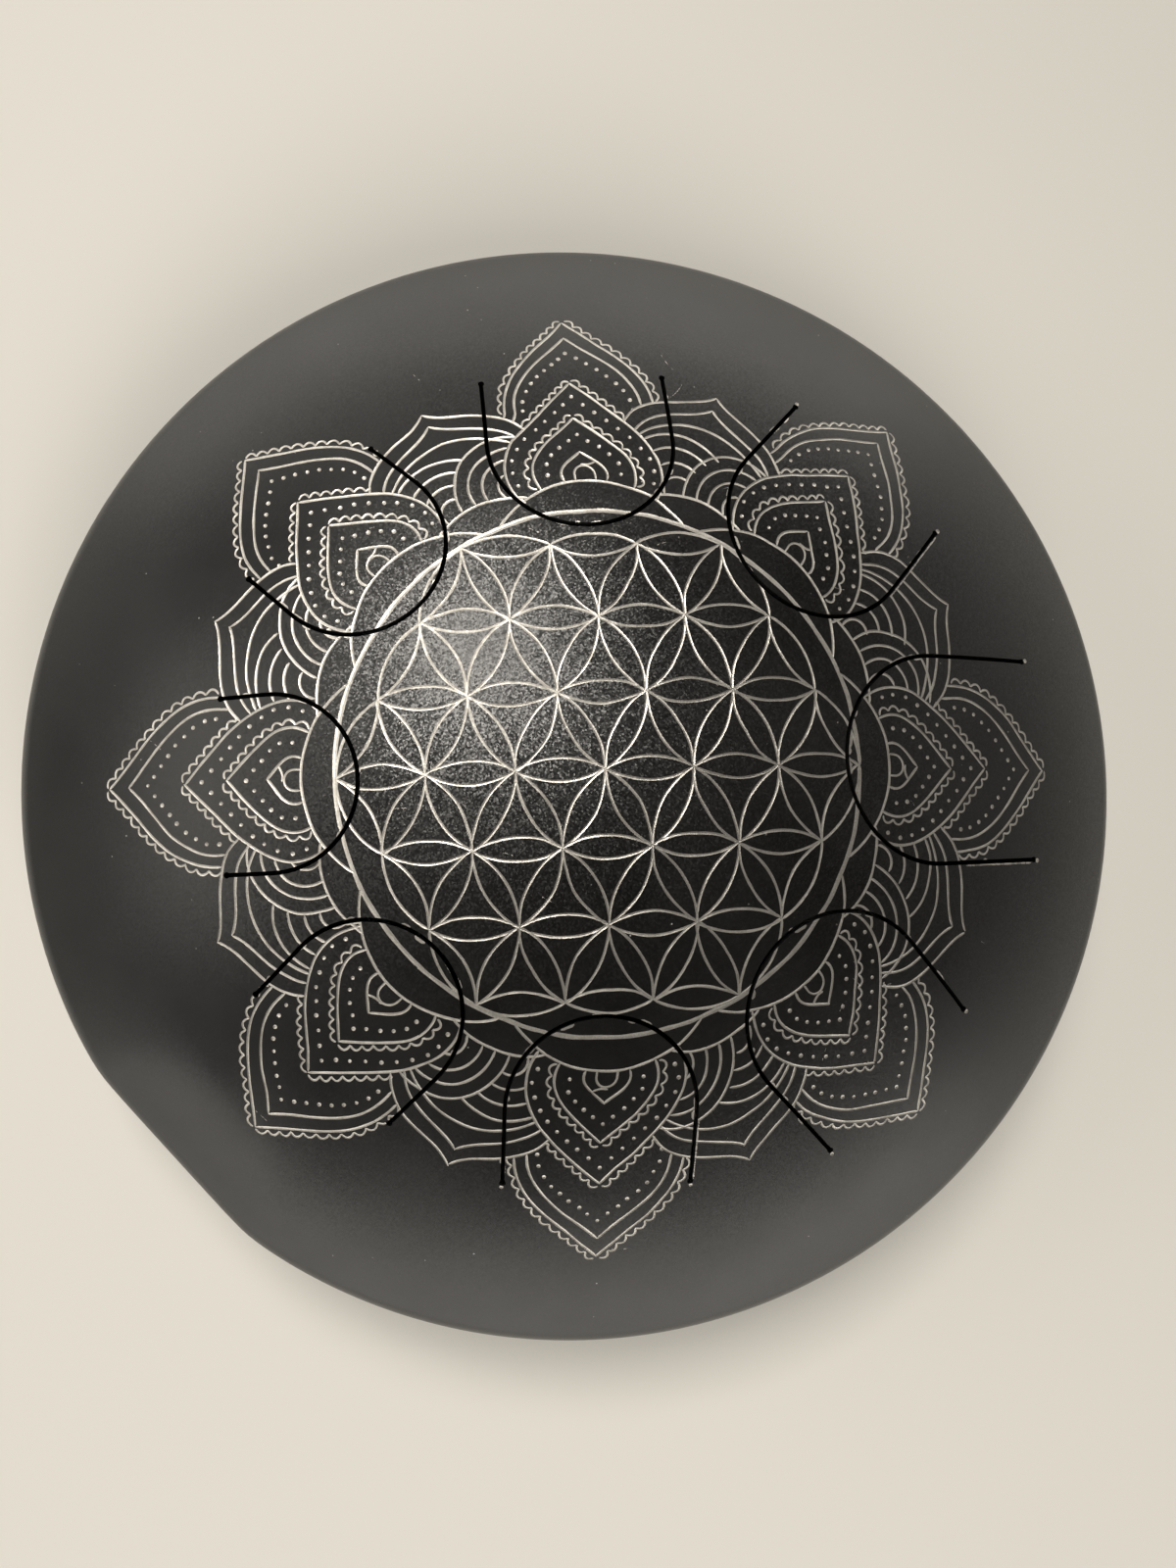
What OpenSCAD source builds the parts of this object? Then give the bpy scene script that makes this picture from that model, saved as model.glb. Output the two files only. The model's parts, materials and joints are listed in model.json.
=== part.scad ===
// Steel tongue drum in handpan form: two dished steel shells welded at the edge.
// Eight note tongues are cut in the top shell, and four rubber feet carry the bottom one.
// Origin: on the floor under the centre. +Z up. Tongue 1, the longest, points nearly along +X.

/* [Shells] */
// Outside diameter of the drum at its edge
drum_d = 320; // [290:1:350]
// Thickness of the steel sheet
sheet_t = 2; // [1.5:0.1:2.5]
// Rise of the top shell above the centre of its rolled edge
dome_h = 58; // [50:0.5:66]
// Depth of the bottom shell below the centre of its rolled edge
bowl_h = 46; // [40:0.5:54]
// Outside radius of the rolled edge
edge_r = 10; // [7:0.5:14]
// Straight skirt of each shell beside the seam
skirt_h = 3; // [1:0.25:6]

/* [Tongues] */
// Circle that all the free ends touch, as a share of the drum's radius
tip_share = 0.392; // [0.36:0.002:0.42]
// Length of tongue 1, free end to root
tongue_1_len = 59.5; // [50:0.5:64]
// Length of tongue 2
tongue_2_len = 53.5; // [46:0.5:60]
// Length of tongue 3
tongue_3_len = 50.5; // [44:0.5:56]
// Length of tongue 4
tongue_4_len = 44.5; // [40:0.5:50]
// Length of tongue 5
tongue_5_len = 43.5; // [38:0.5:50]
// Length of tongue 6
tongue_6_len = 40.5; // [36:0.5:47]
// Length of tongue 7
tongue_7_len = 39; // [34:0.5:45]
// Length of tongue 8
tongue_8_len = 34.5; // [31:0.5:42]
// Width of the longest tongue
tongue_w_long = 54; // [48:0.5:58]
// Width of the shortest tongue
tongue_w_short = 44.5; // [40:0.5:50]
// Width of the slot round each tongue
kerf = 1.15; // [0.8:0.05:2]
// Diameter of the round hole at each end of a slot, where the cut begins
pierce_d = 1.7; // [1.4:0.05:3]
// Hairline across each root, where the tongue bends
root_gap = 0.12; // [0.08:0.01:0.2]

/* [Hand layout of the tongues] */
// Offset of the tongues' common centre from the drum's axis, along +X
layout_x = 1.2; // [-2:0.1:2]
// Offset of the tongues' common centre from the drum's axis, along +Y
layout_y = 0.8; // [-2:0.1:2]
// Degrees by which tongue 1 is turned from its even place, anticlockwise from above
tongue_1_turn = 0.5; // [-2:0.1:2]
// Degrees by which tongue 2 is turned from its even place, anticlockwise from above
tongue_2_turn = -1.7; // [-2:0.1:2]
// Degrees by which tongue 3 is turned from its even place, anticlockwise from above
tongue_3_turn = 1.3; // [-2:0.1:2]
// Degrees by which tongue 4 is turned from its even place, anticlockwise from above
tongue_4_turn = -1.9; // [-2:0.1:2]
// Degrees by which tongue 5 is turned from its even place, anticlockwise from above
tongue_5_turn = 1.4; // [-2:0.1:2]
// Degrees by which tongue 6 is turned from its even place, anticlockwise from above
tongue_6_turn = -0.7; // [-2:0.1:2]
// Degrees by which tongue 7 is turned from its even place, anticlockwise from above
tongue_7_turn = 1.2; // [-2:0.1:2]
// Degrees by which tongue 8 is turned from its even place, anticlockwise from above
tongue_8_turn = 0.7; // [-2:0.1:2]

/* [Sound port] */
// Clear diameter of the port in the bottom shell
port_d = 80; // [60:1:100]
// Outside radius of the port's turned-in lip
lip_r = 6; // [4:0.25:8]
// Straight collar above the lip
lip_h = 3; // [1:0.25:8]
// Angle by which the crown laps past the start of the lip
lip_lap = 0.05; // [0.02:0.01:0.1]

/* [Seam] */
// Gap between the two skirts, filled by the weld
weld_gap = 1.6; // [1:0.1:3]
// Width of the weld's cap over the skirts
weld_w = 5; // [3.5:0.1:6]
// Height of the weld's cap
weld_crown = 0.6; // [0.3:0.05:1]

/* [Feet] */
// Radius of the circle on which the foot screws pass through the shell
foot_ring_r = 84; // [75:0.5:95]
// Height of the shell's outside above the floor at each foot screw
foot_h = 15; // [13:0.25:20]
// Diameter of a foot where it meets the shell
foot_d = 30; // [24:0.5:34]
// Narrowing of a foot per millimetre of height
foot_taper = 0.15; // [0:0.01:0.2]
// Rubber between the screw head and the shell
foot_web = 5; // [4:0.25:7]
// Gap between a foot's curved top and the shell
foot_seat_gap = 0.05; // [0.02:0.01:0.2]

/* [Fasteners] */
// Screw diameter
screw_d = 4; // [3:0.5:5]
// Screw head diameter
screw_head_d = 7.6; // [6.5:0.1:9]
// Screw head height
screw_head_h = 2.4; // [2:0.1:3.5]
// Socket in the screw head, across its flats
socket_af = 2.5; // [2:0.5:3]
// Depth of the socket
socket_depth = 1.4; // [1:0.1:1.8]
// Play all round the screw in the shell and the foot
screw_play = 0.2; // [0.1:0.05:0.4]
// Play all round the screw head in its pocket
head_play = 0.8; // [0.4:0.1:1.5]
// Washer diameter
washer_d = 10; // [9.5:0.5:12]
// Washer thickness
washer_t = 0.8; // [0.6:0.1:1.2]
// Nut, across its flats
nut_af = 7; // [6.5:0.1:9]
// Nut height
nut_h = 3.2; // [2.4:0.1:4]
// Gap between the thread and the nut
thread_gap = 0.04; // [0.02:0.01:0.08]
// Screw end that stands out of the nut
screw_tail = 1.5; // [0.5:0.25:3]

/* [Hidden] */
$fn = 192;

coat_colour = [0.09, 0.09, 0.085];
rubber_colour = [0.05, 0.05, 0.05];
zinc_colour = [0.72, 0.72, 0.7];

drum_r = drum_d / 2;
// Radius of the crown sphere of an end that touches its rolled edge from inside
function crown_r(r, rise, roll) = (pow(r - roll, 2) + pow(rise, 2) - pow(roll, 2)) / (2 * (rise - roll));
bowl_crown_r = crown_r(drum_r, bowl_h, edge_r);

// Heights, worked out from the floor up
bowl_centre_z = foot_h + sqrt(pow(bowl_crown_r, 2) - pow(foot_ring_r, 2));
bowl_roll_z = bowl_centre_z - (bowl_crown_r - bowl_h);
seam_z = bowl_roll_z + skirt_h + weld_gap / 2;
dome_roll_z = seam_z + weld_gap / 2 + skirt_h;

// Tongues: lengths in note order, their widths, roots and places round the drum
tongue_lens = [tongue_1_len, tongue_2_len, tongue_3_len, tongue_4_len,
               tongue_5_len, tongue_6_len, tongue_7_len, tongue_8_len];
tongue_turns = [tongue_1_turn, tongue_2_turn, tongue_3_turn, tongue_4_turn,
                tongue_5_turn, tongue_6_turn, tongue_7_turn, tongue_8_turn];
tongue_count = len(tongue_lens);
tongue_step = 360 / tongue_count;
tip_ring_r = tip_share * drum_r;
longest = max(tongue_lens);
shortest = min(tongue_lens);
function tongue_len(note) = tongue_lens[note - 1];
function tongue_w(note) = lookup(tongue_len(note), [[shortest, tongue_w_short], [longest, tongue_w_long]]);
function tongue_root(note) = tip_ring_r + tongue_len(note);
// Notes step outwards from the longest tongue, to the right and the left in turn
function even_place(note) = (note % 2 == 1 ? 1 : -1) * tongue_step * floor(note / 2);
function tongue_angle(note) = even_place(note) + tongue_turns[note - 1];

// Sound port: the lip touches the crown sphere from inside
port_r = port_d / 2;
lip_ring_r = port_r + lip_r;
lip_angle = asin(lip_ring_r / (bowl_crown_r - lip_r));
lip_rise = (bowl_crown_r - lip_r) * cos(lip_angle) - (bowl_crown_r - bowl_h);

// Feet and their fasteners stand square to the shell
foot_count = 4;
foot_step = 360 / foot_count;
foot_turn = foot_step / 2;
foot_slope = asin(foot_ring_r / bowl_crown_r);
screw_r = screw_d / 2;
screw_hole_r = screw_r + screw_play;
pocket_r = screw_head_d / 2 + head_play;
// A flat washer bears on its rim inside the curved shell
bowl_inner_r = bowl_crown_r - sheet_t;
washer_seat = bowl_inner_r - sqrt(pow(bowl_inner_r, 2) - pow(washer_d / 2, 2));
washer_z = sheet_t + washer_seat;
nut_z = washer_z + washer_t;
screw_top = nut_z + nut_h + screw_tail;
foot_reach = 2 * foot_h;

// Half section of a solid dished end: crown, rolled edge and skirt, with its roll centre at height 0
module dished_region(r, rise, roll, skirt) {
    ring = r - roll;
    crown = crown_r(r, rise, roll);
    lean = asin(ring / (crown - roll));
    reach = 2 * crown;
    intersection() {
        union() {
            intersection() {
                translate([0, rise - crown]) circle(r = crown);
                translate([0, rise - crown]) polygon([[0, 0], [0, reach], reach * [sin(lean), cos(lean)]]);
            }
            translate([ring, 0]) circle(r = roll);
            translate([0, -skirt]) square([r, skirt]);
        }
        translate([0, -skirt]) square([r, rise + skirt]);
    }
}

// Half section of a shell: the sheet between two dished regions
module dished_sheet(rise) {
    difference() {
        dished_region(drum_r, rise, edge_r, skirt_h);
        dished_region(drum_r - sheet_t, rise - sheet_t, edge_r - sheet_t, skirt_h + sheet_t);
    }
}

module dome_sheet() {
    translate([0, 0, dome_roll_z]) rotate_extrude() dished_sheet(dome_h);
}

// Plan of one tongue along +X, grown all round and cut straight at its root
module tongue_plan(note, grow, short) {
    half_w = tongue_w(note) / 2;
    end_x = tip_ring_r + half_w;
    root_x = tongue_root(note) - short;
    intersection() {
        union() {
            translate([end_x, 0]) circle(r = half_w + grow);
            translate([end_x, -half_w - grow]) square([root_x - end_x, 2 * (half_w + grow)]);
        }
        translate([0, -half_w - grow]) square([root_x, 2 * (half_w + grow)]);
    }
}

// Plan of the round holes at the two ends of a tongue's slot
module slot_ends(note) {
    for (side = [-1, 1])
        translate([tongue_root(note), side * (tongue_w(note) + kerf) / 2]) circle(d = pierce_d);
}

// Upright prism over a plan drawn along +X, turned to a tongue's place, through the top shell only
module through_top(note) {
    translate([layout_x, layout_y, dome_roll_z])
        rotate([0, 0, tongue_angle(note)])
            linear_extrude(height = dome_h + sheet_t) children();
}

module upper_shell() {
    color(coat_colour)
        difference() {
            dome_sheet();
            for (note = [1:tongue_count]) {
                through_top(note) tongue_plan(note, kerf, 0);
                through_top(note) slot_ends(note);
            }
        }
}

module tongue(note) {
    color(coat_colour)
        difference() {
            intersection() {
                dome_sheet();
                through_top(note) tongue_plan(note, 0, root_gap);
            }
            through_top(note) slot_ends(note);
        }
}

// Half section of the bottom shell, drawn with its crown upwards, with the lip turned in at the port
module bowl_section() {
    crown_z = bowl_h - bowl_crown_r;
    reach = 2 * bowl_crown_r;
    lean = [sin(lip_angle), cos(lip_angle)];
    lapped = [sin(lip_angle - lip_lap), cos(lip_angle - lip_lap)];
    difference() {
        dished_sheet(bowl_h);
        translate([0, crown_z]) polygon([[0, 0], [0, reach], reach * lapped]);
    }
    translate([lip_ring_r, lip_rise])
        intersection() {
            difference() {
                circle(r = lip_r);
                circle(r = lip_r - sheet_t);
            }
            polygon([[0, 0], 2 * lip_r * lean, 2 * lip_r * [-1, 1], [-2 * lip_r, 0]]);
        }
    translate([port_r, lip_rise - lip_h]) square([sheet_t, lip_h]);
}

// Frame of one foot: on the shell's outside, with +Z square to the shell and into the drum
module at_foot(i) {
    rotate([0, 0, foot_turn + (i - 1) * foot_step])
        translate([foot_ring_r, 0, foot_h])
            rotate([0, -foot_slope, 0]) children();
}

module at_each_foot() {
    for (i = [1:foot_count]) at_foot(i) children();
}

module lower_shell() {
    color(coat_colour)
        difference() {
            translate([0, 0, bowl_roll_z]) mirror([0, 0, 1]) rotate_extrude() bowl_section();
            at_each_foot() translate([0, 0, -sheet_t]) cylinder(r = screw_hole_r, h = 3 * sheet_t);
        }
}

// Ring of weld between the skirts, with a low cap over both
module seam_weld() {
    cap_r = (pow(weld_w / 2, 2) + pow(weld_crown, 2)) / (2 * weld_crown);
    color(coat_colour)
        translate([0, 0, seam_z])
            rotate_extrude() {
                translate([drum_r - sheet_t, -weld_gap / 2]) square([sheet_t, weld_gap]);
                intersection() {
                    translate([drum_r + weld_crown - cap_r, 0]) circle(r = cap_r);
                    translate([drum_r, -weld_w / 2]) square([weld_crown, weld_w]);
                }
            }
}

// Rubber foot: a cone square to the shell, its top hollowed to the shell and its sole cut level
module foot(i) {
    color(rubber_colour)
        difference() {
            intersection() {
                at_foot(i) {
                    cylinder(d = foot_d, h = sheet_t);
                    translate([0, 0, -foot_reach])
                        cylinder(d1 = foot_d - 2 * foot_taper * foot_reach, d2 = foot_d, h = foot_reach);
                }
                translate([-drum_r, -drum_r, 0]) cube([drum_d, drum_d, seam_z]);
            }
            translate([0, 0, bowl_centre_z]) sphere(r = bowl_crown_r + foot_seat_gap);
            at_foot(i) translate([0, 0, -foot_reach]) cylinder(r = screw_hole_r, h = 2 * foot_reach);
            at_foot(i) translate([0, 0, -foot_web - foot_reach]) cylinder(r = pocket_r, h = foot_reach);
        }
}

module foot_screws() {
    color(zinc_colour)
        at_each_foot()
            translate([0, 0, -foot_web])
                difference() {
                    union() {
                        translate([0, 0, -screw_head_h]) cylinder(d = screw_head_d, h = screw_head_h);
                        cylinder(r = screw_r, h = foot_web + screw_top);
                    }
                    translate([0, 0, -screw_head_h - socket_depth])
                        cylinder(d = socket_af / cos(30), h = 2 * socket_depth, $fn = 6);
                }
}

module foot_washers() {
    color(zinc_colour)
        at_each_foot()
            translate([0, 0, washer_z])
                difference() {
                    cylinder(d = washer_d, h = washer_t);
                    translate([0, 0, -washer_t]) cylinder(r = screw_hole_r, h = 3 * washer_t);
                }
}

module foot_nuts() {
    color(zinc_colour)
        at_each_foot()
            translate([0, 0, nut_z])
                difference() {
                    cylinder(d = nut_af / cos(30), h = nut_h, $fn = 6);
                    translate([0, 0, -nut_h]) cylinder(r = screw_r + thread_gap, h = 3 * nut_h);
                }
}

upper_shell();
tongue(1);  // tongue_1
tongue(2);  // tongue_2
tongue(3);  // tongue_3
tongue(4);  // tongue_4
tongue(5);  // tongue_5
tongue(6);  // tongue_6
tongue(7);  // tongue_7
tongue(8);  // tongue_8
lower_shell();
seam_weld();
foot(1);  // foot_1
foot(2);  // foot_2
foot(3);  // foot_3
foot(4);  // foot_4
foot_screws();
foot_washers();
foot_nuts();
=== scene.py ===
"""Looks of a black steel tongue drum: engraved top, cut tongues, bowl, weld, feet and a plain studio."""

import json
import logging
import math
from collections.abc import Callable, Iterable
from dataclasses import dataclass, field
from enum import Enum

import bpy
import numpy as np
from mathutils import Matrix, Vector
from mathutils.geometry import delaunay_2d_cdt
from mathutils.kdtree import KDTree


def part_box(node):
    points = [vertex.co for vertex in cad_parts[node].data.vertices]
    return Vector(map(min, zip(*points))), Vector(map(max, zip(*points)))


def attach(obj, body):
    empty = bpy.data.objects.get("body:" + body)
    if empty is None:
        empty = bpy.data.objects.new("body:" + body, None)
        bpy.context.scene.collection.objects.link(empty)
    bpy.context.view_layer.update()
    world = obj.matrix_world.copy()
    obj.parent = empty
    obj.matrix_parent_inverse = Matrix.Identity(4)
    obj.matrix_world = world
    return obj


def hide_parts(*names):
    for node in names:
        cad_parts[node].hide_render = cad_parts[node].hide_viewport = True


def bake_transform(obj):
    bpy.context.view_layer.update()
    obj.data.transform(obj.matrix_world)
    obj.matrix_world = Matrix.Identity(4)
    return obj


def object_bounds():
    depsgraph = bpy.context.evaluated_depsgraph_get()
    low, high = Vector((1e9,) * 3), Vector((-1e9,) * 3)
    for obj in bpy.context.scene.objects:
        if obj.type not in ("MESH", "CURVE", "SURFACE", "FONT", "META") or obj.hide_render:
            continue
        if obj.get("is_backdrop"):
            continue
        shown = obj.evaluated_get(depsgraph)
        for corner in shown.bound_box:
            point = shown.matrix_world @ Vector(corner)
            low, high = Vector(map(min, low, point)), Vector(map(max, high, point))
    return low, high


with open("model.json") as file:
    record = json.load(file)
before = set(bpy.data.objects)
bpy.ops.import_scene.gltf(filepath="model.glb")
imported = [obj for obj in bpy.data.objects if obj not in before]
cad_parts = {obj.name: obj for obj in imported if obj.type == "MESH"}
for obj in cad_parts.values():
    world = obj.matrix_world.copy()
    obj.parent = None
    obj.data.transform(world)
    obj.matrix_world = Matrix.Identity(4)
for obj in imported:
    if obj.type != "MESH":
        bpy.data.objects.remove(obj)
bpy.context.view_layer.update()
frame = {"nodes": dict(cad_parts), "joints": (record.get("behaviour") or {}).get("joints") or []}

LOG = logging.getLogger("tongue_drum")
MM = 0.001
TINY = 1e-12
NEAR = 1e-6
NOTES = 8
Colour = tuple[float, float, float]
Spot = tuple[float, float, float]
Pair = tuple[float, float]
Test = Callable[[np.ndarray], np.ndarray]


class Mark(Enum):
    """Kinds of mark cut through the coat: half width and depth in mm."""

    LINE = (0.345, 0.10)
    FINE = (0.285, 0.08)
    RING = (0.57, 0.10)
    DOT = (0.56, 0.15)
    CHIP = (0.42, 0.07)
    HAIR = (0.10, 0.03)

    @property
    def half_w(self) -> float:
        """Half the mark's width."""
        return self.value[0]

    @property
    def depth(self) -> float:
        """Depth at the mark's middle."""
        return self.value[1]


class Face(Enum):
    """Material places on a skin piece."""

    COAT = 0
    STEEL = 1


# Plane curves, in mm


def bezier(corners: tuple[Pair, ...], count: int = 80) -> np.ndarray:
    """Draws a cubic curve.

    Args:
        corners: the curve's four corners.
        count: number of points.

    Returns:
        The points, one row each.
    """
    t = np.linspace(0.0, 1.0, count)[:, None]
    p = np.asarray(corners, float)
    return (1 - t) ** 3 * p[0] + 3 * t * (1 - t) ** 2 * p[1] + 3 * t * t * (1 - t) * p[2] + t ** 3 * p[3]


def arc(centre: Pair, radius: float, start: float, end: float, count: int = 60) -> np.ndarray:
    """Draws part of a circle.

    Args:
        centre: the circle's centre.
        radius: its radius.
        start: first angle in degrees.
        end: last angle in degrees.
        count: number of points.

    Returns:
        The points, one row each.
    """
    a = np.radians(np.linspace(start, end, count))
    return np.column_stack([centre[0] + radius * np.cos(a), centre[1] + radius * np.sin(a)])


def travel(points: np.ndarray) -> np.ndarray:
    """Returns the distance along a line at each of its points."""
    return np.concatenate([[0.0], np.cumsum(np.hypot(*np.diff(points, axis=0).T))])


def respace(points: np.ndarray, step: float) -> np.ndarray:
    """Spaces a line's points evenly.

    Args:
        points: the line.
        step: wanted distance between points.

    Returns:
        The line with even points and the same ends.
    """
    s = travel(points)
    even = np.linspace(0.0, s[-1], max(2, int(round(s[-1] / step)) + 1))
    return np.column_stack([np.interp(even, s, points[:, i]) for i in (0, 1)])


def sideways(points: np.ndarray) -> np.ndarray:
    """Finds the way to the left of a line.

    Args:
        points: the line.

    Returns:
        A unit vector at each of its points.
    """
    d = np.gradient(points, axis=0)
    d /= np.maximum(np.hypot(d[:, 0], d[:, 1]), TINY)[:, None]
    return np.column_stack([-d[:, 1], d[:, 0]])


def longer(points: np.ndarray, extra: float) -> np.ndarray:
    """Returns a line carried straight on past its last point by an extra length."""
    d = points[-1] - points[-2]
    return np.vstack([points, points[-1] + d / np.hypot(*d) * extra])


def mirrored(points: np.ndarray) -> np.ndarray:
    """Returns a line mirrored left to right."""
    return points * np.array([-1.0, 1.0])


def within(outline: np.ndarray, points: np.ndarray) -> np.ndarray:
    """Tells which points lie inside a closed outline.

    Args:
        outline: corners of the outline.
        points: the points to test.

    Returns:
        True for each point inside.
    """
    x, y = points[:, :1], points[:, 1:]
    a, b = outline, np.roll(outline, -1, axis=0)
    rise = b[:, 1] - a[:, 1]
    rise = np.where(np.abs(rise) < TINY, TINY, rise)
    cross = ((a[:, 1] > y) != (b[:, 1] > y)) & (x < (b[:, 0] - a[:, 0]) * (y - a[:, 1]) / rise + a[:, 0])
    return cross.sum(axis=1) % 2 == 1


def kept_runs(points: np.ndarray, keep: Test, step: float = 0.25) -> list[np.ndarray]:
    """Cuts a line to the stretches that pass a test.

    Args:
        points: the line.
        keep: tells which points stay.
        step: fineness of the cut.

    Returns:
        The stretches longer than two steps.
    """
    fine = respace(points, step)
    flags = np.concatenate([[False], keep(fine), [False]]).astype(int)
    turns = np.flatnonzero(np.diff(flags))
    return [fine[a:b] for a, b in zip(turns[::2], turns[1::2]) if b - a > 2]


def round_angles(count: int) -> np.ndarray:
    """Returns evenly spaced angles round a circle, in radians."""
    return np.arange(count) * (2 * math.pi / count)


# Meshes


@dataclass
class Stroke:
    """One cut of the engraver: a centre line with a width and a depth."""

    points: np.ndarray
    mark: Mark
    scale: float = 1.0
    taper: float = 0.7
    end_share: float = 0.45
    stride: float = 2.5
    spare: float = 6.0
    uneven: Pair = (0.86, 1.14)

    def widths(self, rng: np.random.RandomState) -> np.ndarray:
        """Works out the cut's width, a little uneven and narrowing at the ends.

        Args:
            rng: source of the lots.

        Returns:
            The half width at each point.
        """
        s = travel(self.points)
        knots = np.arange(0.0, s[-1] + self.spare, self.stride)
        wide = np.interp(s, knots, rng.uniform(*self.uneven, len(knots)))
        ends = np.minimum(s, s[-1] - s)
        wide *= np.clip(self.end_share + ends / self.taper, 0.0, 1.0)
        return wide * self.mark.half_w * self.scale


@dataclass
class Run:
    """A smooth stretch of a turned outline: radius and height of its points, and their outward normals."""

    points: np.ndarray
    normals: np.ndarray

    @classmethod
    def arc(cls, centre: Pair, radius: float, start: float, end: float, count: int,
            side: float = 1.0) -> "Run":
        """Makes a round stretch.

        Args:
            centre: radius and height of the arc's centre.
            radius: radius of the arc.
            start: first angle in degrees, 0 pointing outward and 90 up.
            end: last angle in degrees.
            count: number of points.
            side: 1 when the surface faces away from the centre, -1 when it faces it.

        Returns:
            The stretch.
        """
        a = np.radians(np.linspace(start, end, count))
        out = np.column_stack([np.cos(a), np.sin(a)])
        return cls(np.asarray(centre) + radius * out, side * out)

    @classmethod
    def line(cls, first: Pair, last: Pair, normal: Pair) -> "Run":
        """Makes a straight stretch from one radius and height to another, with its outward normal."""
        return cls(np.array([first, last], float), np.array([normal, normal], float))


@dataclass(frozen=True)
class EdgeFlat:
    """A stretch of the drum's edge that was knocked flat, in mm.

    A straight chord takes the place of the round edge, towards a direction in degrees. Nothing nearer
    the axis than still_r moves, and all that lies beyond whole_r moves in full.
    """

    way: float = 220.6
    chord: float = 157.7
    edge_r: float = 160.6
    still_r: float = 126.0
    whole_r: float = 152.0
    soft: float = 0.9
    probe: float = 0.01
    least_cos: float = 0.5
    steep: float = 0.9

    def press(self, points: np.ndarray) -> np.ndarray:
        """Pushes the points near the flat in towards the axis.

        Args:
            points: points of a surface.

        Returns:
            The points after it.
        """
        r = np.maximum(np.hypot(points[:, 0], points[:, 1]), self.probe)
        turn = np.arctan2(points[:, 1], points[:, 0]) - math.radians(self.way)
        over = self.edge_r - self.chord / np.maximum(np.cos(turn), self.least_cos)
        depth = (over + np.hypot(over, self.soft)) / 2
        share = np.clip((r - self.still_r) / (self.whole_r - self.still_r), 0.0, 1.0)
        shrink = 1.0 - depth * share * share * (3.0 - 2.0 * share) / r
        return points * np.column_stack([shrink, shrink, np.ones(len(r))])

    def lean(self, points: np.ndarray, normals: np.ndarray) -> np.ndarray:
        """Returns the normals that a surface has after it is pressed.

        Args:
            points: points of the surface before.
            normals: its normals there.

        Returns:
            The new normals.
        """
        level = np.abs(normals[:, 2:]) > self.steep
        first = np.cross(normals, np.where(level, [[1.0, 0.0, 0.0]], [[0.0, 0.0, 1.0]]))
        second = np.cross(normals, first)
        along, across = (self.press(points + self.probe * way) - self.press(points - self.probe * way)
                         for way in (first, second))
        turned = np.cross(along, across)
        return turned / np.maximum(np.linalg.norm(turned, axis=1), TINY)[:, None]


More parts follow.
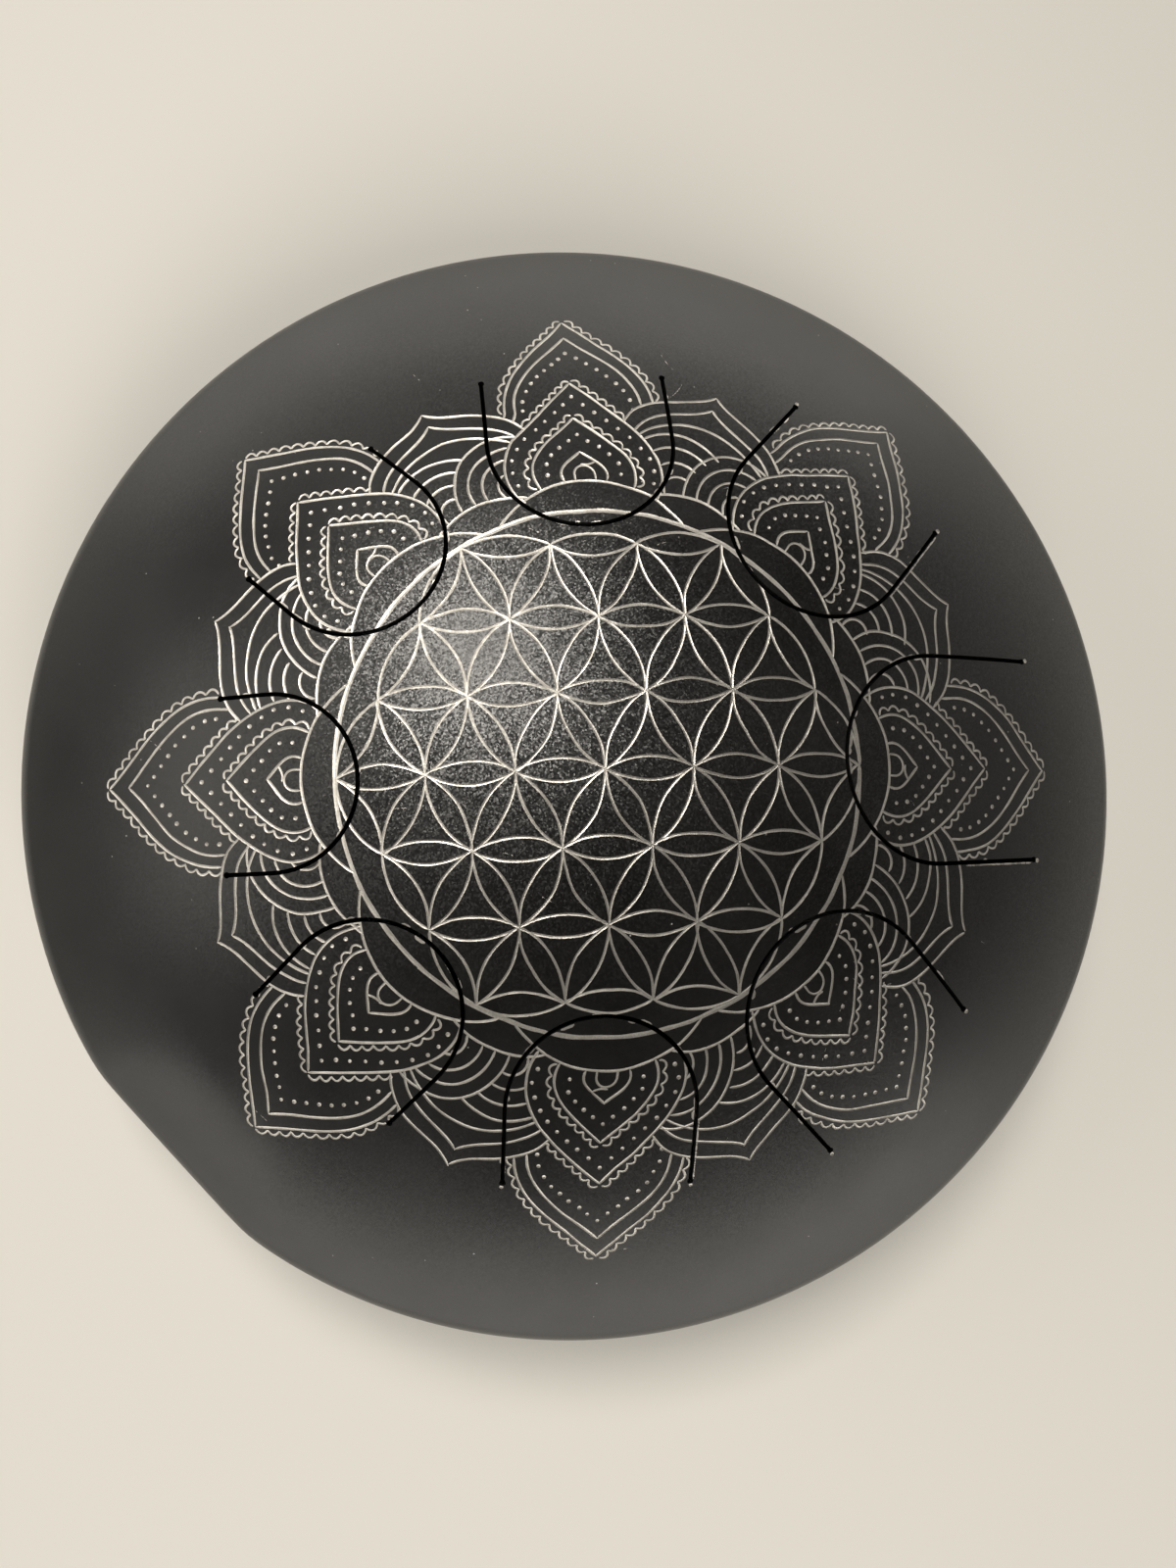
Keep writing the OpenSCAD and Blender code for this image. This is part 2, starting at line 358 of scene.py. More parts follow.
@dataclass
class Body:
    """A mesh in the making: corners in mm, faces, their material places and a normal per face corner."""

    corners: list[list[float]] = field(default_factory=list)
    faces: list[list[int]] = field(default_factory=list)
    places: list[int] = field(default_factory=list)
    normals: list[np.ndarray] = field(default_factory=list)

    def add(self, points: np.ndarray) -> np.ndarray:
        """Adds corners.

        Args:
            points: the corners, one row each.

        Returns:
            Their numbers.
        """
        first = len(self.corners)
        self.corners.extend(points.tolist())
        return np.arange(first, first + len(points))

    def face(self, ids: Iterable[int], normals: list[np.ndarray], place: Face = Face.COAT) -> None:
        """Adds one face.

        Args:
            ids: numbers of its corners.
            normals: a normal for each corner.
            place: its material place.
        """
        self.faces.append([int(i) for i in ids])
        self.places.append(place.value)
        self.normals.extend(normals)

    def flat_face(self, ids: list[int]) -> None:
        """Adds one face of four corners with its own flat normal.

        Args:
            ids: numbers of its corners.
        """
        p = np.array([self.corners[int(i)] for i in ids])
        n = np.cross(p[2] - p[0], p[3] - p[1])
        n = n / max(np.linalg.norm(n), TINY)
        self.face(ids, [n] * len(ids))

    def ring(self, point: np.ndarray, angles: np.ndarray) -> np.ndarray:
        """Adds a ring of corners at a radius and height, and returns their numbers."""
        height = np.full(len(angles), point[1])
        return self.add(np.column_stack([point[0] * np.cos(angles), point[0] * np.sin(angles), height]))

    def turn(self, runs: list[Run], angles: np.ndarray, first: np.ndarray | None = None,
             last: np.ndarray | None = None) -> None:
        """Turns an outline round the drum's axis.

        Args:
            runs: the outline's stretches, each starting where the one before ends.
            angles: angle of each corner round the axis.
            first: ring of corners to start from, or None for a new one.
            last: ring of corners to end on, or None to close on the first.
        """
        ring = self.ring(runs[0].points[0], angles) if first is None else first
        end = ring if last is None else last
        for run in runs:
            for i in range(1, len(run.points)):
                closing = run is runs[-1] and i == len(run.points) - 1
                after = end if closing else self.ring(run.points[i], angles)
                self.band(ring, after, run.normals[i - 1], run.normals[i], angles)
                ring = after

    def band(self, ring: np.ndarray, after: np.ndarray, n_ring: np.ndarray, n_after: np.ndarray,
             angles: np.ndarray) -> None:
        """Joins two rings by faces.

        Args:
            ring: numbers of the first ring's corners.
            after: numbers of the second ring's corners.
            n_ring: normal along the first ring, outward and up.
            n_after: normal along the second ring, outward and up.
            angles: angle of each corner round the axis.
        """
        spin = np.column_stack([np.cos(angles), np.sin(angles)])
        na = np.column_stack([spin * n_ring[0], np.full(len(angles), n_ring[1])])
        nb = np.column_stack([spin * n_after[0], np.full(len(angles), n_after[1])])
        p = [np.array(self.corners[k]) for k in (ring[0], ring[1], after[1])]
        flip = np.dot(np.cross(p[1] - p[0], p[2] - p[0]), na[0] + nb[0]) < 0
        for j in range(len(angles)):
            k = (j + 1) % len(angles)
            ids = [ring[j], ring[k], after[k], after[j]]
            normals = [na[j], na[k], nb[k], nb[j]]
            self.face(ids[::-1] if flip else ids, normals[::-1] if flip else normals)

    def grid(self, rows: list[np.ndarray]) -> None:
        """Joins rings of corners by faces, each ring to the next and the last to the first.

        Args:
            rows: numbers of each ring's corners.
        """
        for row, after in zip(rows, rows[1:] + rows[:1]):
            for j, k in zip(range(len(row)), [*range(1, len(row)), 0]):
                self.flat_face([row[j], row[k], after[k], after[j]])

    def press(self, flat: EdgeFlat) -> None:
        """Knocks a stretch of the drum's edge flat.

        Args:
            flat: the stretch.
        """
        corners = np.array(self.corners)
        touched = corners[[i for face in self.faces for i in face]]
        self.normals = list(flat.lean(touched, np.array(self.normals)))
        self.corners = flat.press(corners).tolist()

    def piece(self, name: str, materials: list[bpy.types.Material], sharp: float = 0.0) -> bpy.types.Object:
        """Makes the Blender object.

        Args:
            name: the piece's name.
            materials: one material per material place.
            sharp: angle in degrees above which an edge stays sharp, or 0 to keep the body's own normals.

        Returns:
            The object, in metres in the drum's frame.
        """
        mesh = bpy.data.meshes.new(name)
        mesh.from_pydata((np.array(self.corners) * MM).tolist(), [], self.faces)
        for material in materials:
            mesh.materials.append(material)
        mesh.polygons.foreach_set("material_index", self.places)
        mesh.polygons.foreach_set("use_smooth", [True] * len(self.faces))
        if sharp:
            mesh.set_sharp_from_angle(angle=math.radians(sharp))
        else:
            mesh.normals_split_custom_set([tuple(n) for n in self.normals])
        piece = bpy.data.objects.new(name, mesh)
        bpy.context.collection.objects.link(piece)
        return piece


# Finishes


@dataclass(frozen=True)
class Noise:
    """A cloudy pattern: lumps per metre, levels of detail and the strength of the finer ones."""

    scale: float
    detail: float = 2.0
    rough: float = 0.5


@dataclass(frozen=True)
class Span:
    """A range of a pattern's values and the range that it is carried to."""

    low: float
    high: float
    to_low: float = 0.0
    to_high: float = 1.0


class Nodes:
    """A node tree with short calls that add and join nodes.

    The sockets of a mix node share their names, so those for colours are called by number.
    """

    mix_first: int = 6
    mix_second: int = 7
    mix_colour: int = 2

    def __init__(self, tree: bpy.types.NodeTree, place: str) -> None:
        """Takes the tree and the kind of coordinates that its patterns lie in."""
        self.tree = tree
        self.place = tree.nodes.new("ShaderNodeTexCoord").outputs[place]

    def add(self, kind: str, **inputs: object) -> bpy.types.Node:
        """Adds a node.

        Args:
            kind: Blender's name for the node.
            inputs: sockets by name with underscores, each a number, a colour or another socket.

        Returns:
            The node.
        """
        node = self.tree.nodes.new(kind)
        for key, value in inputs.items():
            self.feed(node.inputs[key.replace("_", " ")], value)
        return node

    def feed(self, socket: bpy.types.NodeSocket, value: object) -> None:
        """Sets a socket to a value, or joins another socket to it.

        Args:
            socket: the socket.
            value: a number, a colour or another socket.
        """
        if isinstance(value, bpy.types.NodeSocket):
            self.tree.links.new(value, socket)
        else:
            socket.default_value = value

    def noise(self, noise: Noise) -> bpy.types.NodeSocket:
        """Returns the value of a cloudy pattern."""
        return self.add("ShaderNodeTexNoise", Vector=self.place, Scale=noise.scale, Detail=noise.detail,
                        Roughness=noise.rough).outputs["Fac"]

    def cells(self, scale: float, output: str) -> bpy.types.NodeSocket:
        """Returns an output of scattered cells, such as the distance to their middles."""
        return self.add("ShaderNodeTexVoronoi", Vector=self.place, Scale=scale).outputs[output]

    def span(self, value: bpy.types.NodeSocket, span: Span) -> bpy.types.NodeSocket:
        """Returns a value carried from one range to another and held inside it."""
        return self.add("ShaderNodeMapRange", Value=value, From_Min=span.low, From_Max=span.high,
                        To_Min=span.to_low, To_Max=span.to_high).outputs["Result"]

    def tint(self, amount: object, first: object, second: Colour) -> bpy.types.NodeSocket:
        """Mixes two colours.

        Args:
            amount: share of the second colour.
            first: a colour, or a socket that gives one.
            second: the other colour.

        Returns:
            The mixed colour.
        """
        node = self.tree.nodes.new("ShaderNodeMix")
        node.data_type = "RGBA"
        self.feed(node.inputs[0], amount)
        self.feed(node.inputs[self.mix_first], (*first, 1.0) if isinstance(first, tuple) else first)
        self.feed(node.inputs[self.mix_second], (*second, 1.0))
        return node.outputs[self.mix_colour]

    def sum(self, one: object, other: object, how: str = "ADD") -> bpy.types.NodeSocket:
        """Puts two values together.

        Args:
            one: the first value, a number or a socket.
            other: the second value, a number or a socket.
            how: Blender's name for the operation.

        Returns:
            The result.
        """
        node = self.tree.nodes.new("ShaderNodeMath")
        node.operation = how
        self.feed(node.inputs[0], one)
        self.feed(node.inputs[1], other)
        return node.outputs[0]

    def vector(self, how: str, *inputs: object) -> bpy.types.Node:
        """Adds a vector operation.

        Args:
            how: Blender's name for the operation.
            inputs: its inputs in order, each a vector or a socket.

        Returns:
            The node.
        """
        node = self.tree.nodes.new("ShaderNodeVectorMath")
        node.operation = how
        for socket, value in zip(node.inputs, inputs):
            self.feed(socket, value)
        return node

    def reach(self) -> bpy.types.NodeSocket:
        """Returns the distance from the drum's axis in metres."""
        flat = self.vector("MULTIPLY", self.place, (1.0, 1.0, 0.0)).outputs["Vector"]
        return self.vector("LENGTH", flat).outputs["Value"]

    def facets(self, grains: bpy.types.NodeSocket, tilt: float,
               share: bpy.types.NodeSocket) -> bpy.types.NodeSocket:
        """Leans the surface's normal by lot in each grain.

        Args:
            grains: the lots of each grain.
            tilt: the largest lean.
            share: the part of that lean from place to place.

        Returns:
            The leaned normal.
        """
        lean = self.vector("MULTIPLY_ADD", grains, (2 * tilt,) * 3, (-tilt,) * 3)
        eased = self.vector("SCALE", lean.outputs["Vector"])
        self.feed(eased.inputs["Scale"], share)
        upright = self.add("ShaderNodeNewGeometry").outputs["Normal"]
        return self.vector("ADD", upright, eased.outputs["Vector"]).outputs["Vector"]

    def seen(self) -> bpy.types.NodeSocket:
        """Tells rays that see from rays that light.

        Returns:
            1 for rays from the camera, from gloss or through glass, and 0 for the others.
        """
        path = self.add("ShaderNodeLightPath").outputs
        plain = self.sum(path["Is Camera Ray"], path["Is Glossy Ray"], "MAXIMUM")
        return self.sum(plain, path["Is Transmission Ray"], "MAXIMUM")


class Sheet(Nodes):
    """A new material's node sheet."""

    def __init__(self, name: str) -> None:
        """Starts the material with its main shader.

        Args:
            name: the material's name.
        """
        self.material = bpy.data.materials.new(name)
        self.material.use_nodes = True
        super().__init__(self.material.node_tree, "Object")
        self.shader = self.tree.nodes["Principled BSDF"]

    def bump(self, height: bpy.types.NodeSocket, strength: float, rise: float) -> None:
        """Gives the shader a relief of a height in metres."""
        node = self.add("ShaderNodeBump", Strength=strength, Distance=rise, Height=height)
        self.tree.links.new(node.outputs["Normal"], self.shader.inputs["Normal"])

    def set(self, **inputs: object) -> bpy.types.Material:
        """Sets the shader's sockets.

        Args:
            inputs: sockets by name with underscores, each a number, a colour or another socket.

        Returns:
            The material.
        """
        for key, value in inputs.items():
            self.feed(self.shader.inputs[key.replace("_", " ")], value)
        return self.material


@dataclass(frozen=True)
class BlackCoat:
    """Satin black coat: grain that leans more near the axis, its flecks there partly painted sparkle,
    cloudy sheen, pale specks.
    """

    dark: Colour = (0.0018, 0.0018, 0.0018)
    light: Colour = (0.0096, 0.0094, 0.0090)
    speck: Colour = (0.34, 0.33, 0.30)
    cloud: Noise = Noise(24.0, 4.0, 0.6)
    cloud_tone: Span = Span(0.35, 0.68, 0.0, 0.4)
    cloud_rough: Span = Span(0.3, 0.7, 0.315, 0.385)
    grain: float = 2500.0
    fleck: Span = Span(0.5, 0.85, 0.0, 0.6)
    tilt: float = 0.125
    coarse_to: float = 0.060
    fine_from: float = 0.115
    fine_tilt: float = 0.2
    fine_rough: float = 0.035
    dust: float = 150.0
    dust_size: Span = Span(0.026, 0.036, 1.0, 0.0)
    patch: Noise = Noise(40.0, 3.0)
    patch_edge: Span = Span(0.43, 0.56)
    shine: float = 0.67

    def material(self) -> bpy.types.Material:
        """Builds the coat.

        Returns:
            The material.
        """
        sheet = Sheet("black_coat")
        cloud, reach = sheet.noise(self.cloud), sheet.reach()
        grains = sheet.cells(self.grain, "Color")
        share = sheet.span(reach, Span(self.coarse_to, self.fine_from, 1.0, self.fine_tilt))
        # the pale flecks are the coat's own grain, made stronger near the axis as painted sparkle of the
        # highlight
        flecks_and_painted_sparkle = sheet.sum(sheet.span(grains, self.fleck), share, "MULTIPLY")
        tone = sheet.sum(sheet.span(cloud, self.cloud_tone), flecks_and_painted_sparkle)
        dust = sheet.span(sheet.cells(self.dust, "Distance"), self.dust_size)
        patch = sheet.span(sheet.noise(self.patch), self.patch_edge)
        specks = sheet.sum(dust, patch, "MULTIPLY")
        base = sheet.tint(specks, sheet.tint(tone, self.dark, self.light), self.speck)
        rough = sheet.sum(sheet.span(cloud, self.cloud_rough),
                          sheet.span(reach, Span(self.coarse_to, self.fine_from, 0.0, self.fine_rough)))
        return sheet.set(Base_Color=base, Roughness=rough, Specular_IOR_Level=self.shine,
                         Normal=sheet.facets(grains, self.tilt, share))


@dataclass(frozen=True)
class BareSteel:
    """Bright steel where a tool has cut through the coat: rough, with dull and bright stretches."""

    dull: Colour = (0.38, 0.355, 0.315)
    bright: Colour = (0.86, 0.83, 0.77)
    stretch: Noise = Noise(160.0, 3.0, 0.6)
    stretch_tone: Span = Span(0.3, 0.62, 0.25, 1.0)
    tool: Noise = Noise(2600.0, 2.0, 0.7)
    tool_tone: Span = Span(0.3, 0.7, 0.55, 1.05)
    relief: Pair = (0.5, 0.00012)
    rough: Span = Span(0.3, 0.7, 0.50, 0.39)
    metal: float = 0.96

    def material(self) -> bpy.types.Material:
        """Builds the cut steel.

        Returns:
            The material.
        """
        sheet = Sheet("bare_steel")
        stretch, tool = sheet.noise(self.stretch), sheet.noise(self.tool)
        tones = sheet.span(stretch, self.stretch_tone), sheet.span(tool, self.tool_tone)
        amount = sheet.sum(*tones, "MULTIPLY")
        sheet.bump(tool, *self.relief)
        tone = sheet.tint(amount, self.dull, self.bright)
        return sheet.set(Base_Color=tone, Roughness=sheet.span(stretch, self.rough), Metallic=self.metal)


@dataclass(frozen=True)
class CloudyFinish:
    """A finish that clouds between two colours, over a relief of a strength and a height in metres."""

    name: str
    first: Colour
    second: Colour
    cloud: Noise
    tone: Span
    rough: Span
    grain: Noise
    relief: Pair
    metal: float = 0.0

    def material(self) -> bpy.types.Material:
        """Builds the finish.

        Returns:
            The material.
        """
        sheet = Sheet(self.name)
        cloud = sheet.noise(self.cloud)
        sheet.bump(sheet.noise(self.grain), *self.relief)
        tone = sheet.tint(sheet.span(cloud, self.tone), self.first, self.second)
        return sheet.set(Base_Color=tone, Roughness=sheet.span(cloud, self.rough), Metallic=self.metal)


@dataclass(frozen=True)
class WeldCoat(CloudyFinish):
    """The same black coat, thicker and glossier over the weld's ripples."""

    name: str = "weld_coat"
    first: Colour = (0.008, 0.008, 0.008)
    second: Colour = (0.018, 0.0175, 0.017)
    cloud: Noise = Noise(90.0, 3.0)
    tone: Span = Span(0.35, 0.65)
    rough: Span = Span(0.3, 0.7, 0.3, 0.46)
    grain: Noise = Noise(1700.0, 3.0, 0.65)
    relief: Pair = (0.5, 0.0001)


@dataclass(frozen=True)
class MouldedRubber(CloudyFinish):
    """Moulded black rubber: matt, finely grained and a little dusty."""

    name: str = "moulded_rubber"
    first: Colour = (0.012, 0.012, 0.012)
    second: Colour = (0.045, 0.043, 0.040)
    cloud: Noise = Noise(120.0, 5.0, 0.65)
    tone: Span = Span(0.42, 0.75)
    rough: Span = Span(0.3, 0.7, 0.68, 0.86)
    grain: Noise = Noise(2200.0)
    relief: Pair = (0.6, 0.0001)


@dataclass(frozen=True)
class ZincPlate(CloudyFinish):
    """Pale zinc plating with a slight bloom."""

    name: str = "zinc_plate"
    first: Colour = (0.50, 0.50, 0.48)
    second: Colour = (0.74, 0.75, 0.75)
    cloud: Noise = Noise(420.0, 4.0, 0.6)
    tone: Span = Span(0.35, 0.65)
    rough: Span = Span(0.3, 0.7, 0.24, 0.42)
    grain: Noise = Noise(3000.0)
    relief: Pair = (0.3, 0.00004)
    metal: float = 1.0


@dataclass(frozen=True)
class PaperFloor:
    """Warm white matt floor, a little whiter to the eye than in the light it throws back.

    Far from the drum it turns into the pale backdrop.
    """

    shade: Colour = (0.44, 0.42, 0.385)
    light: Colour = (0.48, 0.46, 0.42)
    seen: Colour = (0.64, 0.628, 0.588)
    far: Colour = (0.66, 0.64, 0.60)
    none: Colour = (0.0, 0.0, 0.0)
    away: Span = Span(0.7, 1.2)
    cloud: Noise = Noise(6.0, 5.0, 0.6)
    tone: Span = Span(0.3, 0.7)
    rough: Span = Span(0.3, 0.7, 0.75, 0.9)
    fibre: Noise = Noise(500.0, 3.0)
    relief: Pair = (0.15, 0.0002)
    shine: float = 0.2

    def material(self) -> bpy.types.Material:
        """Builds the floor's paper.

        Returns:
            The material.
        """
        sheet = Sheet("paper_floor")
        cloud = sheet.noise(self.cloud)
        sheet.bump(sheet.noise(self.fibre), *self.relief)
        eye, away = sheet.seen(), sheet.span(sheet.reach(), self.away)
        tone = sheet.tint(sheet.span(cloud, self.tone), self.shade, self.light)
        base = sheet.tint(away, sheet.tint(eye, tone, self.seen), self.none)
        glow = sheet.sum(away, eye, "MULTIPLY")
        return sheet.set(Base_Color=base, Roughness=sheet.span(cloud, self.rough),
                         Specular_IOR_Level=self.shine, Emission_Color=(*self.far, 1.0),
                         Emission_Strength=glow)


@dataclass(frozen=True)
class Backdrop:
    """Pale paper around the drum, dimmer at the left and right, under a dark ceiling."""

    dim: Colour = (0.025, 0.024, 0.023)
    pale: Colour = (0.66, 0.64, 0.60)
    height: Span = Span(0.12, 0.32, 1.0, 0.0)
    ends: Span = Span(0.15, 0.55, 0.1, 1.0)

    def world(self) -> bpy.types.World:
        """Builds the backdrop, which hardly lights the drum.

        Returns:
            The world.
        """
        world = bpy.data.worlds.new("studio")
        world.use_nodes = True
        nodes = Nodes(world.node_tree, "Generated")
        way = nodes.add("ShaderNodeSeparateXYZ", Vector=nodes.place).outputs
        low = nodes.span(way["Z"], self.height)
        ends = nodes.span(nodes.sum(way["Y"], 0.0, "ABSOLUTE"), self.ends)
        amount = nodes.sum(nodes.sum(low, ends, "MULTIPLY"), nodes.seen(), "MULTIPLY")
        colour = world.node_tree.nodes["Background"].inputs["Color"]
        nodes.feed(colour, nodes.tint(amount, self.dim, self.pale))
        return world


# The engraved pattern


@dataclass
class Hand:
    """The engraver's hand: small even tremors, the same at every run."""

    rng: np.random.RandomState
    tremor: float = 0.13
    stride: float = 6.0

    def shaky(self, points: np.ndarray) -> np.ndarray:
        """Adds small slow tremors to a line.

        Args:
            points: the line.

        Returns:
            The shaky line.
        """
        s = travel(points)
        knots = np.arange(0.0, s[-1] + 2 * self.stride, self.stride)
        off = self.rng.normal(0.0, self.tremor, (len(knots), 2))
        return points + np.column_stack([np.interp(s, knots, off[:, i]) for i in (0, 1)])


@dataclass
class Petal:
    """One petal's own axes: y out from the drum's centre and x clockwise.

    Each petal has its own hand-drawn lean and reach, and its left half may be slimmer towards the tip.
    """

    turn: float
    lean: float
    reach: float
    left: float = 1.0
    base: float = 75.0
    lean_from: float = 70.0
    lean_over: float = 25.0
    left_from: float = 88.0
    left_over: float = 8.0

    def place(self, local: np.ndarray) -> np.ndarray:
        """Lays points on the drum's plan.

        Args:
            local: points of the petal's own axes.

        Returns:
            The same points on the plan.
        """
        across, out = local[:, 0], local[:, 1]
        slim = 1.0 - (1.0 - self.left) * np.clip((out - self.left_from) / self.left_over, 0.0, 1.0)
        x = np.where(across < 0.0, across * slim, across)
        x += self.lean * np.clip((out - self.lean_from) / self.lean_over, 0.0, 1.0)
        y = np.where(out > self.base, self.base + (out - self.base) * self.reach, out)
        c, s = math.cos(math.radians(self.turn)), math.sin(math.radians(self.turn))
        return np.column_stack([x * s + y * c, y * s - x * c])

    def spot(self, x: float, y: float) -> np.ndarray:
        """Returns one point of the petal's own axes on the drum's plan."""
        return self.place(np.array([[x, y]]))[0]


@dataclass
class Mandala:
    """The engraved ornament: a flower of life, its ring, eight main petals and eight side petals, in mm.

    A leaf's line is its right half from the tip down, as corners of a cubic curve. For the outer, middle
    and inner leaf, frills holds a scallop's length and the share of the edge with scallops. A fan is the
    centre and the radii of its arcs.
    """

    cell: float = 22.15
    rows: int = 3
    ring_r: float = 66.8
    main_leans: tuple[float, ...] = (0.9, -4.8, -2.4, -0.5, 0.9, 1.2, 1.9, 3.8)
    main_tips: tuple[float, ...] = (127.8, 130.5, 127.0, 127.5, 128.6, 129.2, 128.8, 128.6)
    main_lefts: tuple[float, ...] = (1.0, 0.87, 0.81, 1.0, 1.0, 1.0, 1.0, 1.0)
    side_leans: tuple[float, ...] = (-2.7, -4.0, -1.7, 2.6, 0.6, -0.3, 3.7, 3.1)
    side_tips: tuple[float, ...] = (108.1, 108.1, 106.1, 107.0, 107.0, 108.2, 109.3, 108.6)
    outer: tuple[Pair, ...] = ((0, 128.5), (8, 119.5), (23, 112), (22, 97))
    outer_in: tuple[Pair, ...] = ((0, 122.7), (7, 115.5), (20, 109), (18.8, 96.5))
    outer_dots: tuple[Pair, ...] = ((0, 117.2), (6.5, 112), (16.5, 106), (16.2, 97.5))
    middle: tuple[Pair, ...] = ((0, 106.5), (11, 96), (26, 84), (18.3, 71))
    middle_dots: tuple[Pair, ...] = ((0, 101.7), (9, 93.5), (22.5, 83.5), (17.5, 74.5))
    inner: tuple[Pair, ...] = ((0, 95), (7, 88), (16.5, 81.5), (12.3, 73.6))
    inner_dots: tuple[Pair, ...] = ((0, 89.6), (4.5, 86), (11, 82), (9.6, 77.3))
    drop: tuple[Pair, ...] = ((0, 84.3), (3, 81.3), (7.6, 79), (5.4, 75))
    side: tuple[Pair, ...] = ((0, 107), (5, 101.5), (18.5, 101), (21.8, 91))
    side_in: tuple[Pair, ...] = ((0, 102.6), (4.5, 97.8), (15, 97), (18.9, 89.2))
    side_foot: tuple[Pair, ...] = ((16.0, 72.0),)
    side_arch: Pair = (72.7, 23.0)
    bulge: Pair = (47.4, 28.1)
    side_bulge: Pair = (51.0, 24.0)
    arch_sweep: Pair = (20.0, 160.0)
    fan_sweep: Pair = (-40.0, 220.0)
    left_fan: tuple[Pair, tuple[float, ...]] = ((-5.0, 75.5), (4.0, 8.0, 12.0, 16.0))
    right_fan: tuple[Pair, tuple[float, ...]] = ((11.5, 76.0), (4.2, 8.2, 11.7, 15.3))
    loop: tuple[Pair, ...] = ((-2.7, 74.6), (0.0, 77.2), (2.7, 74.6))
    loop_points: int = 24
    curl: tuple[Pair, ...] = ((3.6, 81.2), (2.2, 80.2), (0.9, 80.0), (-0.4, 80.4))
    frills: tuple[Pair, ...] = ((3.4, 1.0), (2.9, 0.55), (3.0, 1.0))
    dot_counts: tuple[int, ...] = (8, 9, 5)
    dot_slip: float = 0.1
    dot_sizes: Pair = (0.85, 1.12)
    scallop_base: float = 0.7
    scallop_rise: float = 1.35
    scallop_power: float = 0.75
    scallop_step: float = 0.2
    tail: float = 3.0
    lattice_step: float = 1.0
    ring_step: float = 1.2
    ring_points: int = 400
    frill_step: float = 0.36
    small_step: float = 0.5
    seed: int = 11

    def __post_init__(self) -> None:
        """Sets out the petals and the shapes that hide one another."""
        self.hand = Hand(np.random.RandomState(self.seed))
        self.strokes: list[Stroke] = []
        base, turn = Petal.base, 360.0 / len(self.main_leans)
        mains = zip(self.main_leans, self.main_tips, self.main_lefts)
        self.mains = [Petal(turn * k, lean, (tip - base) / (self.outer[0][1] - base), left)
                      for k, (lean, tip, left) in enumerate(mains)]
        self.sides = [Petal(turn / 2 + turn * k, lean, (tip - base) / (self.side[0][1] - base))
                      for k, (lean, tip) in enumerate(zip(self.side_leans, self.side_tips))]
        self.middles = [p.place(self.shape(self.middle)) for p in self.mains]
        self.side_shapes = [p.place(self.shape(self.side, self.side_foot)) for p in self.sides]
        self.bulges = [p.spot(0.0, self.bulge[0]) for p in self.mains]

    @staticmethod
    def shape(corners: tuple[Pair, ...], foot: tuple[Pair, ...] = ()) -> np.ndarray:
        """Returns a petal's closed outline from its right half and the foot below it."""
        half = np.vstack([bezier(corners), *foot])
        return np.vstack([half, mirrored(half)[::-1]])

    def off_bulges(self, points: np.ndarray) -> np.ndarray:
        """Tells which points are outside the crescents round the ring."""
        return np.all([np.hypot(*(points - c).T) > self.bulge[1] for c in self.bulges], axis=0)

    def off_middles(self, points: np.ndarray) -> np.ndarray:
        """Tells which points no main petal's middle part covers."""
        return ~np.any([within(s, points) for s in self.middles], axis=0)

    def off_sides(self, points: np.ndarray) -> np.ndarray:
        """Tells which points no side petal covers."""
        return ~np.any([within(s, points) for s in self.side_shapes], axis=0)

    def off_ring(self, points: np.ndarray) -> np.ndarray:
        """Tells which points are outside the ring."""
        return np.hypot(points[:, 0], points[:, 1]) > self.ring_r

    def draw(self, points: np.ndarray, mark: Mark = Mark.LINE, tests: tuple[Test, ...] = (),
             step: float = 0.9) -> None:
        """Adds a line to the pattern.

        Args:
            points: the line on the drum's plan.
            mark: kind of cut.
            tests: tests a point passes to be seen.
            step: distance between the points kept.
        """
        runs = kept_runs(points, lambda p: np.all([t(p) for t in tests], axis=0)) if tests else [points]
        for run in runs:
            self.strokes.append(Stroke(self.hand.shaky(respace(run, step)), mark))

    def dot(self, point: np.ndarray) -> None:
        """Adds a round dot of a slightly uneven size."""
        spot = point + self.hand.rng.normal(0.0, self.dot_slip, 2)
        self.strokes.append(Stroke(spot[None, :], Mark.DOT, self.hand.rng.uniform(*self.dot_sizes)))

    def flower(self) -> None:
        """Draws the flower of life: two arcs over each side of a triangle net."""
        u = np.array([self.cell, 0.0])
        v = np.array([self.cell / 2, self.cell * math.sqrt(3) / 2])
        span = range(-self.rows, self.rows + 1)
        net = [(i, j) for i in span for j in span if abs(i + j) <= self.rows]
        # Each side's step in the net, and the two corners across it that its arcs are drawn round
        sides = ((1, 0, 0, 1, 1, -1), (0, 1, 1, 0, -1, 1), (-1, 1, 0, 1, -1, 0))
        for i, j in net:
            for di, dj, si, sj, ti, tj in sides:
                if (i + di, j + dj) not in net:
                    continue
                for ci, cj in ((si, sj), (ti, tj)):
                    centre = (i + ci) * u + (j + cj) * v
                    first = i * u + j * v - centre
                    last = (i + di) * u + (j + dj) * v - centre
                    start = math.degrees(math.atan2(first[1], first[0]))
                    sweep = math.degrees(math.atan2(last[1], last[0])) - start
                    sweep = (sweep + 180.0) % 360.0 - 180.0
                    self.draw(arc(tuple(centre), self.cell, start, start + sweep), step=self.lattice_step)

    def rings(self) -> None:
        """Draws the ring and the arcs of the crescents that stand on it."""
        self.draw(arc((0, 0), self.ring_r, 0, 360, self.ring_points), Mark.RING, step=self.ring_step)
        for petal in self.mains:
            curve = petal.place(arc((0, self.bulge[0]), self.bulge[1], *self.arch_sweep))
            self.draw(curve, Mark.LINE, (self.off_ring,))
        for petal in self.sides:
            curve = petal.place(arc((0, self.side_bulge[0]), self.side_bulge[1], *self.arch_sweep))
            self.draw(curve, Mark.LINE, (self.off_ring, self.off_bulges))

